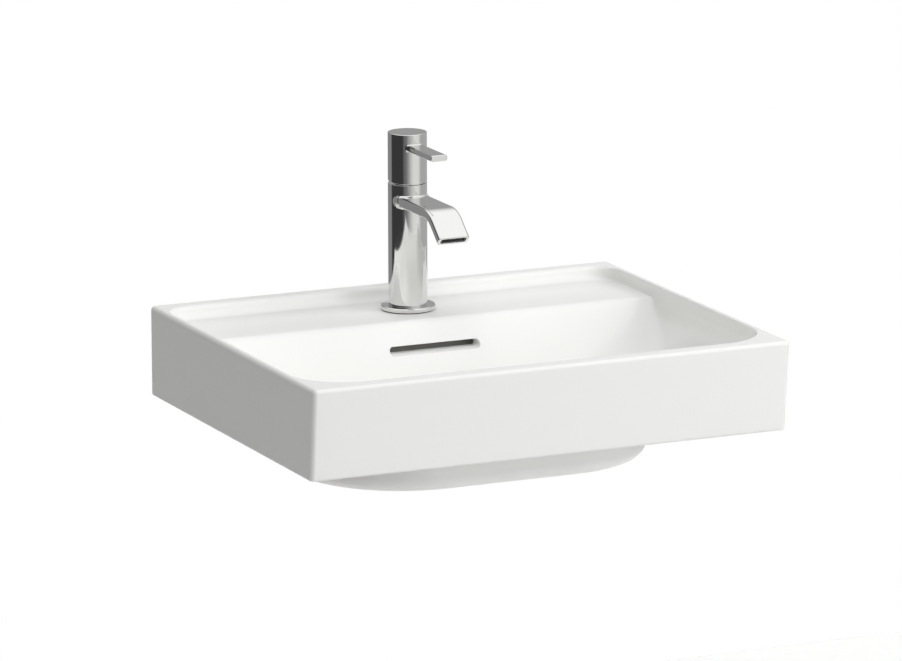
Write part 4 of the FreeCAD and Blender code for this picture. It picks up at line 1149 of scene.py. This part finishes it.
def helixTree(name, sizes, slot):
    # a wire or ridge wound along +Z, round a core if the sizes give one
    tree, given = newTree(name, sizes)
    turns = addNode(tree, "ShaderNodeMath", {"operation": "DIVIDE"},
                    links={0: (given, "Length"), 1: (given, "Pitch")})
    path = addNode(tree, "GeometryNodeCurveSpiral", links={
        "Resolution": (given, "Points"), "Rotations": (turns, 0), "Start Radius": (given, "Winding Radius"),
        "End Radius": (given, "Winding Radius"), "Height": (given, "Length")})
    wire = addNode(tree, "GeometryNodeCurvePrimitiveCircle", links={
        "Resolution": (given, "Sides"), "Radius": (given, "Wire Radius")})
    last, output = addNode(tree, "GeometryNodeCurveToMesh", inputs={"Fill Caps": True},
                           links={"Curve": (path, "Curve"), "Profile Curve": (wire, "Curve")}), "Mesh"
    if "Core Radius" in sizes:
        core = addNode(tree, "GeometryNodeMeshCylinder", inputs={"Vertices": 64}, links={
            "Radius": (given, "Core Radius"), "Depth": (given, "Core Length")})
        rise = addNode(tree, "ShaderNodeMath", {"operation": "MULTIPLY"}, {1: 0.5}, {0: (given, "Length")})
        lift = addNode(tree, "ShaderNodeCombineXYZ", links={"Z": (rise, 0)})
        core = addNode(tree, "GeometryNodeTransform", links={
            "Geometry": (core, "Mesh"), "Translation": (lift, "Vector")})
        both = addNode(tree, "GeometryNodeJoinGeometry", links={0: (last, output)})
        tree.links.new(core.outputs["Geometry"], both.inputs[0])
        last, output = both, "Geometry"
    endTree(tree, last, output, slot)
    return tree


def growHelix(name, sizes, slot, body, place, *nodes):
    sizes = inMetres(sizes)
    mesh = growMesh(helixTree(name, sizes, slot), sizes, Matrix.Translation(metres(*place)))
    finishPiece(mesh, name, slot, body, *nodes, sharpDeg=40)


fixings = {
    # M8 stud, with its ridge drawn at the real pitch
    "stud": {"Winding Radius": 3.55, "Wire Radius": 0.45, "Pitch": 1.25, "Length": 53.5,
             "Points": 24, "Sides": 4, "Core Radius": 3.55, "Core Length": 57.0},
    "studPlace": (0, -56, 4.2),
    # pipe thread on the waste's tail, 11 turns to the inch
    "tail": {"Winding Radius": 20.1, "Wire Radius": 0.8, "Pitch": 2.31, "Length": 11.2,
             "Points": 72, "Sides": 4},
    "tailPlace": (0, drainAxis, -95.6),
    "spring": {"Winding Radius": 2.95, "Wire Radius": 0.4, "Pitch": 1.6, "Length": 7.2,
               "Points": 24, "Sides": 10},
    "springPlace": (0, drainAxis, -77.6),
}


def buildFixings():
    f = fixings
    growHelix("studThread", f["stud"], "zinc_steel", "fixed", f["studPlace"], "fixing_stud")
    growHelix("tailThread", f["tail"], "chrome_plate", "fixed", f["tailPlace"])
    growHelix("clickCoil", f["spring"], "zinc_steel", "fixed", f["springPlace"], "click_spring")


aerator = {
    "grille": {"Half Width": 12.25, "Half Height": 2.05, "Depth": 3.0, "Rib": 0.32, "Columns": 13, "Rows": 3},
    "frameHalf": 13.4, "frameWall": 1.1, "frameDepth": 6.0, "gap": 0.1, "lipRound": 0.2,
    "inset": 0.6, "plateLow": 1.7,
}


def grilleTree(sizes, slot):
    # upright and level ribs in a frame's opening, as rows of thin bars
    tree, given = newTree("aeratorGrille", sizes)
    bars = addNode(tree, "GeometryNodeJoinGeometry")
    for across, along, count, axis, other in (("Half Width", "Half Height", "Columns", "X", "Y"),
                                              ("Half Height", "Half Width", "Rows", "Y", "X")):
        width = addNode(tree, "ShaderNodeMath", {"operation": "MULTIPLY"}, {1: 2}, {0: (given, across)})
        gaps = addNode(tree, "ShaderNodeMath", {"operation": "SUBTRACT"}, {1: 1}, {0: (given, count)})
        step = addNode(tree, "ShaderNodeMath", {"operation": "DIVIDE"}, None, {0: (width, 0), 1: (gaps, 0)})
        back = addNode(tree, "ShaderNodeMath", {"operation": "MULTIPLY"}, {1: -1}, {0: (given, across)})
        start = addNode(tree, "ShaderNodeCombineXYZ", links={axis: (back, 0)})
        stride = addNode(tree, "ShaderNodeCombineXYZ", links={axis: (step, 0)})
        row = addNode(tree, "GeometryNodeMeshLine", {"mode": "OFFSET"}, None, {
            "Count": (given, count), "Start Location": (start, 0), "Offset": (stride, 0)})
        length = addNode(tree, "ShaderNodeMath", {"operation": "MULTIPLY"}, {1: 2}, {0: (given, along)})
        size = addNode(tree, "ShaderNodeCombineXYZ", links={
            axis: (given, "Rib"), other: (length, 0), "Z": (given, "Depth")})
        bar = addNode(tree, "GeometryNodeMeshCube", links={"Size": (size, 0)})
        rowOfBars = addNode(tree, "GeometryNodeInstanceOnPoints", links={
            "Points": (row, "Mesh"), "Instance": (bar, "Mesh")})
        tree.links.new(rowOfBars.outputs["Instances"], bars.inputs[0])
    endTree(tree, bars, "Geometry", slot)
    return tree


def buildAerator():
    a, s = aerator, spout
    half = s["thickness"] / 2
    # the mouth's middle on the tip's end face, and the turn that lays +Z back into the mouth
    centre = Vector((0, tapAxis - s["tipReach"] + half * math.sin(tipSlope),
                     deck + s["top"] - s["tipDrop"] - half * math.cos(tipSlope)))
    into = Vector((0, math.cos(tipSlope), math.sin(tipSlope)))
    upwards = Vector((0, -math.sin(tipSlope), math.cos(tipSlope)))

    def spot(x, y, z):
        return (centre + Vector((x, 0, 0)) + upwards * y + into * z) * mm

    sizes = inMetres(a["grille"])
    turn = Matrix([(1, 0, 0, 0), (0, upwards.y, into.y, 0), (0, upwards.z, into.z, 0), (0, 0, 0, 1)])
    middle = spot(0, 0, a["plateLow"] + a["grille"]["Depth"] / 2)
    mesh = growMesh(grilleTree(sizes, "grey_plastic"), sizes, Matrix.Translation(middle) @ turn)
    finishPiece(mesh, "aeratorGrille", "grey_plastic", "fixed", "aerator_insert")

    # the frame round it, as rings (distance inwards, depth)
    inset, wall, lip = a["inset"], a["frameWall"], a["lipRound"]
    back, top = inset + a["frameDepth"], s["mouthWall"] + a["gap"]
    bm = bmesh.new()
    rings = []
    for inwards, depth in ((0, inset), (0, back), (wall, back), (wall, inset + lip), (wall - lip, inset)):
        turn = s["mouthRound"] - inwards * 0.6
        outline = bandOutline(a["frameHalf"] - inwards, top + inwards, s["thickness"] - top - inwards,
                              turn, turn, 2, 10)
        rings.append(addRing(bm, [spot(x, half - n, depth) for x, n in outline]))
    bridgeRings(bm, rings, closed=True)
    finishMesh(bm, "aeratorFrame", "grey_plastic", "fixed", "aerator_housing")


buildFixings()
buildAerator()
print("fixings and aerator grown")


# CAD pieces that stay as they are get their finishes

def finishCadNodes():
    slots = {entry["node"]: entry["material_slot"] for entry in frame["record"]["subparts"]}
    for node, obj in frame["nodes"].items():
        obj.data.materials.clear()
        obj.data.materials.append(finishes[slots[node]])


finishCadNodes()
print("CAD pieces dressed")


# Studio: pale floor, white surroundings that camera and mirror rays see, and soft lamps

studio = {
    "aim": (0, -0.2, 0), "floorZ": -0.86, "floorColour": "EDEDEC", "floorSize": 3.2,
    "worldLight": 0.295,
    "lamps": [
        # name, place, size, watts; the key lamp is low and small, so that the tap shadows the rear wall
        ("keyLamp", (1.83, -2.81, 0.28), 0.8, 15.3),
        ("frontLamp", (0.00, -2.65, 2.06), 1.6, 18.1),
        ("lowFrontLamp", (1.55, -2.88, 0.83), 1.6, 16.0),
        ("frontRightLamp", (2.12, -1.43, 2.06), 1.6, 26.7),
        ("backRightLamp", (2.19, 1.99, 0.83), 1.6, 28.1),
        ("backLamp", (0.00, 2.25, 2.06), 1.6, 15.0),
        ("lowBackLamp", (0.00, 2.89, 0.83), 1.6, 22.5),
        ("highLeftLamp", (-0.68, -1.37, 2.90), 1.6, 24.2),
    ],
}


def buildStudio():
    st = studio
    mesh = bpy.data.meshes.new("floor")
    size, z = st["floorSize"] / 2, st["floorZ"]
    corners = [(-size, -size, z), (size, -size, z), (size, size, z), (-size, size, z)]
    mesh.from_pydata(corners, [], [(0, 1, 2, 3)])
    # matt wall paint: pale and even, with no gloss
    mesh.materials.append(plainFinish("mattPaint", st["floorColour"], 0.7, 0, None, 2, 0.02))
    floor = bpy.data.objects.new("floor", mesh)
    bpy.context.scene.collection.objects.link(floor)

    world = bpy.data.worlds.new("studio")
    world.use_nodes = True
    bpy.context.scene.world = world
    background = world.node_tree.nodes["Background"]
    background.inputs["Color"].default_value = (1, 1, 1, 1)
    path = addNode(world, "ShaderNodeLightPath")
    direct = addNode(world, "ShaderNodeMath", {"operation": "MAXIMUM"},
                     links={0: (path, "Is Camera Ray"), 1: (path, "Is Glossy Ray")})
    seen = addNode(world, "ShaderNodeMath", {"operation": "MAXIMUM"},
                   links={0: (direct, 0), 1: (path, "Is Transmission Ray")})
    level = addNode(world, "ShaderNodeMapRange", inputs={"To Min": st["worldLight"], "To Max": 1.0},
                    links={"Value": (seen, "Value")})
    world.node_tree.links.new(level.outputs["Result"], background.inputs["Strength"])

    for name, place, extent, watts in st["lamps"]:
        light = bpy.data.lights.new(name, "AREA")
        light.shape = "SQUARE"
        light.size = extent
        light.energy = watts
        lamp = bpy.data.objects.new(name, light)
        lamp.location = place
        lamp.rotation_euler = (Vector(st["aim"]) - Vector(place)).to_track_quat("-Z", "Y").to_euler()
        lamp.visible_camera = False
        lamp.visible_glossy = False
        bpy.context.scene.collection.objects.link(lamp)


# Tent: grey walls and a bright ceiling that only mirror reflections see

tent = {
    "radius": 5.0, "columns": 180, "rows": 60,
    # direction in degrees from the front towards +X, light level of the wall there
    "walls": [(-205, 0.37), (-199, 0.37), (-193, 0.27), (-136, 0.27), (-124, 0.046), (-54, 0.046),
              (-38, 0.16), (18, 0.82), (40, 0.82), (64, 0.46), (135, 0.46), (148, 0.37)],
    # the ceiling's light level, and the degrees above the horizon between which the walls fade into it
    "ceiling": 1.15, "ceilingFrom": 22, "ceilingTo": 55,
}


def levelAt(stops, value):
    for (low, before), (high, after) in zip(stops, stops[1:]):
        if value <= high:
            return mix(before, after, ease((value - low) / (high - low)))
    return stops[-1][1]


def buildTent():
    t = tent
    start = t["walls"][0][0]
    bm = bmesh.new()
    glow = bm.verts.layers.float_color.new("glow")
    rows = []
    for row in range(t["rows"] + 1):
        height = mix(-90, 90, row / t["rows"])
        up = ease((height - t["ceilingFrom"]) / (t["ceilingTo"] - t["ceilingFrom"]))
        flat, z = math.cos(math.radians(height)) * t["radius"], math.sin(math.radians(height)) * t["radius"]
        ring = []
        for column in range(t["columns"]):
            turn = mix(start, start + 360, column / t["columns"])
            x, y = math.sin(math.radians(turn)) * flat, -math.cos(math.radians(turn)) * flat
            vertex = bm.verts.new((x, y, z))
            level = mix(levelAt(t["walls"], turn), t["ceiling"], up)
            vertex[glow] = (level, level, level, 1)
            ring.append(vertex)
        rows.append(ring)
    for below, above in zip(rows, rows[1:]):
        for i in range(t["columns"]):
            j = (i + 1) % t["columns"]
            bm.faces.new((below[i], above[i], above[j], below[j]))
    mesh = bpy.data.meshes.new("tent")
    bm.to_mesh(mesh)
    bm.free()
    # backlit cloth: glows by the level painted on its points
    material = bpy.data.materials.new("tentCloth")
    material.use_nodes = True
    material.node_tree.nodes.remove(material.node_tree.nodes["Principled BSDF"])
    painted = addNode(material, "ShaderNodeAttribute", {"attribute_name": "glow"})
    lit = addNode(material, "ShaderNodeEmission", links={"Color": (painted, "Color")})
    output = material.node_tree.nodes["Material Output"]
    material.node_tree.links.new(lit.outputs["Emission"], output.inputs["Surface"])
    mesh.materials.append(material)
    cloth = bpy.data.objects.new("tent", mesh)
    bpy.context.scene.collection.objects.link(cloth)
    for ray in ("camera", "diffuse", "transmission", "volume_scatter", "shadow"):
        setattr(cloth, "visible_" + ray, False)


buildStudio()
buildTent()
print("studio and tent set up")
bpy.context.scene.view_settings.view_transform = "Standard"
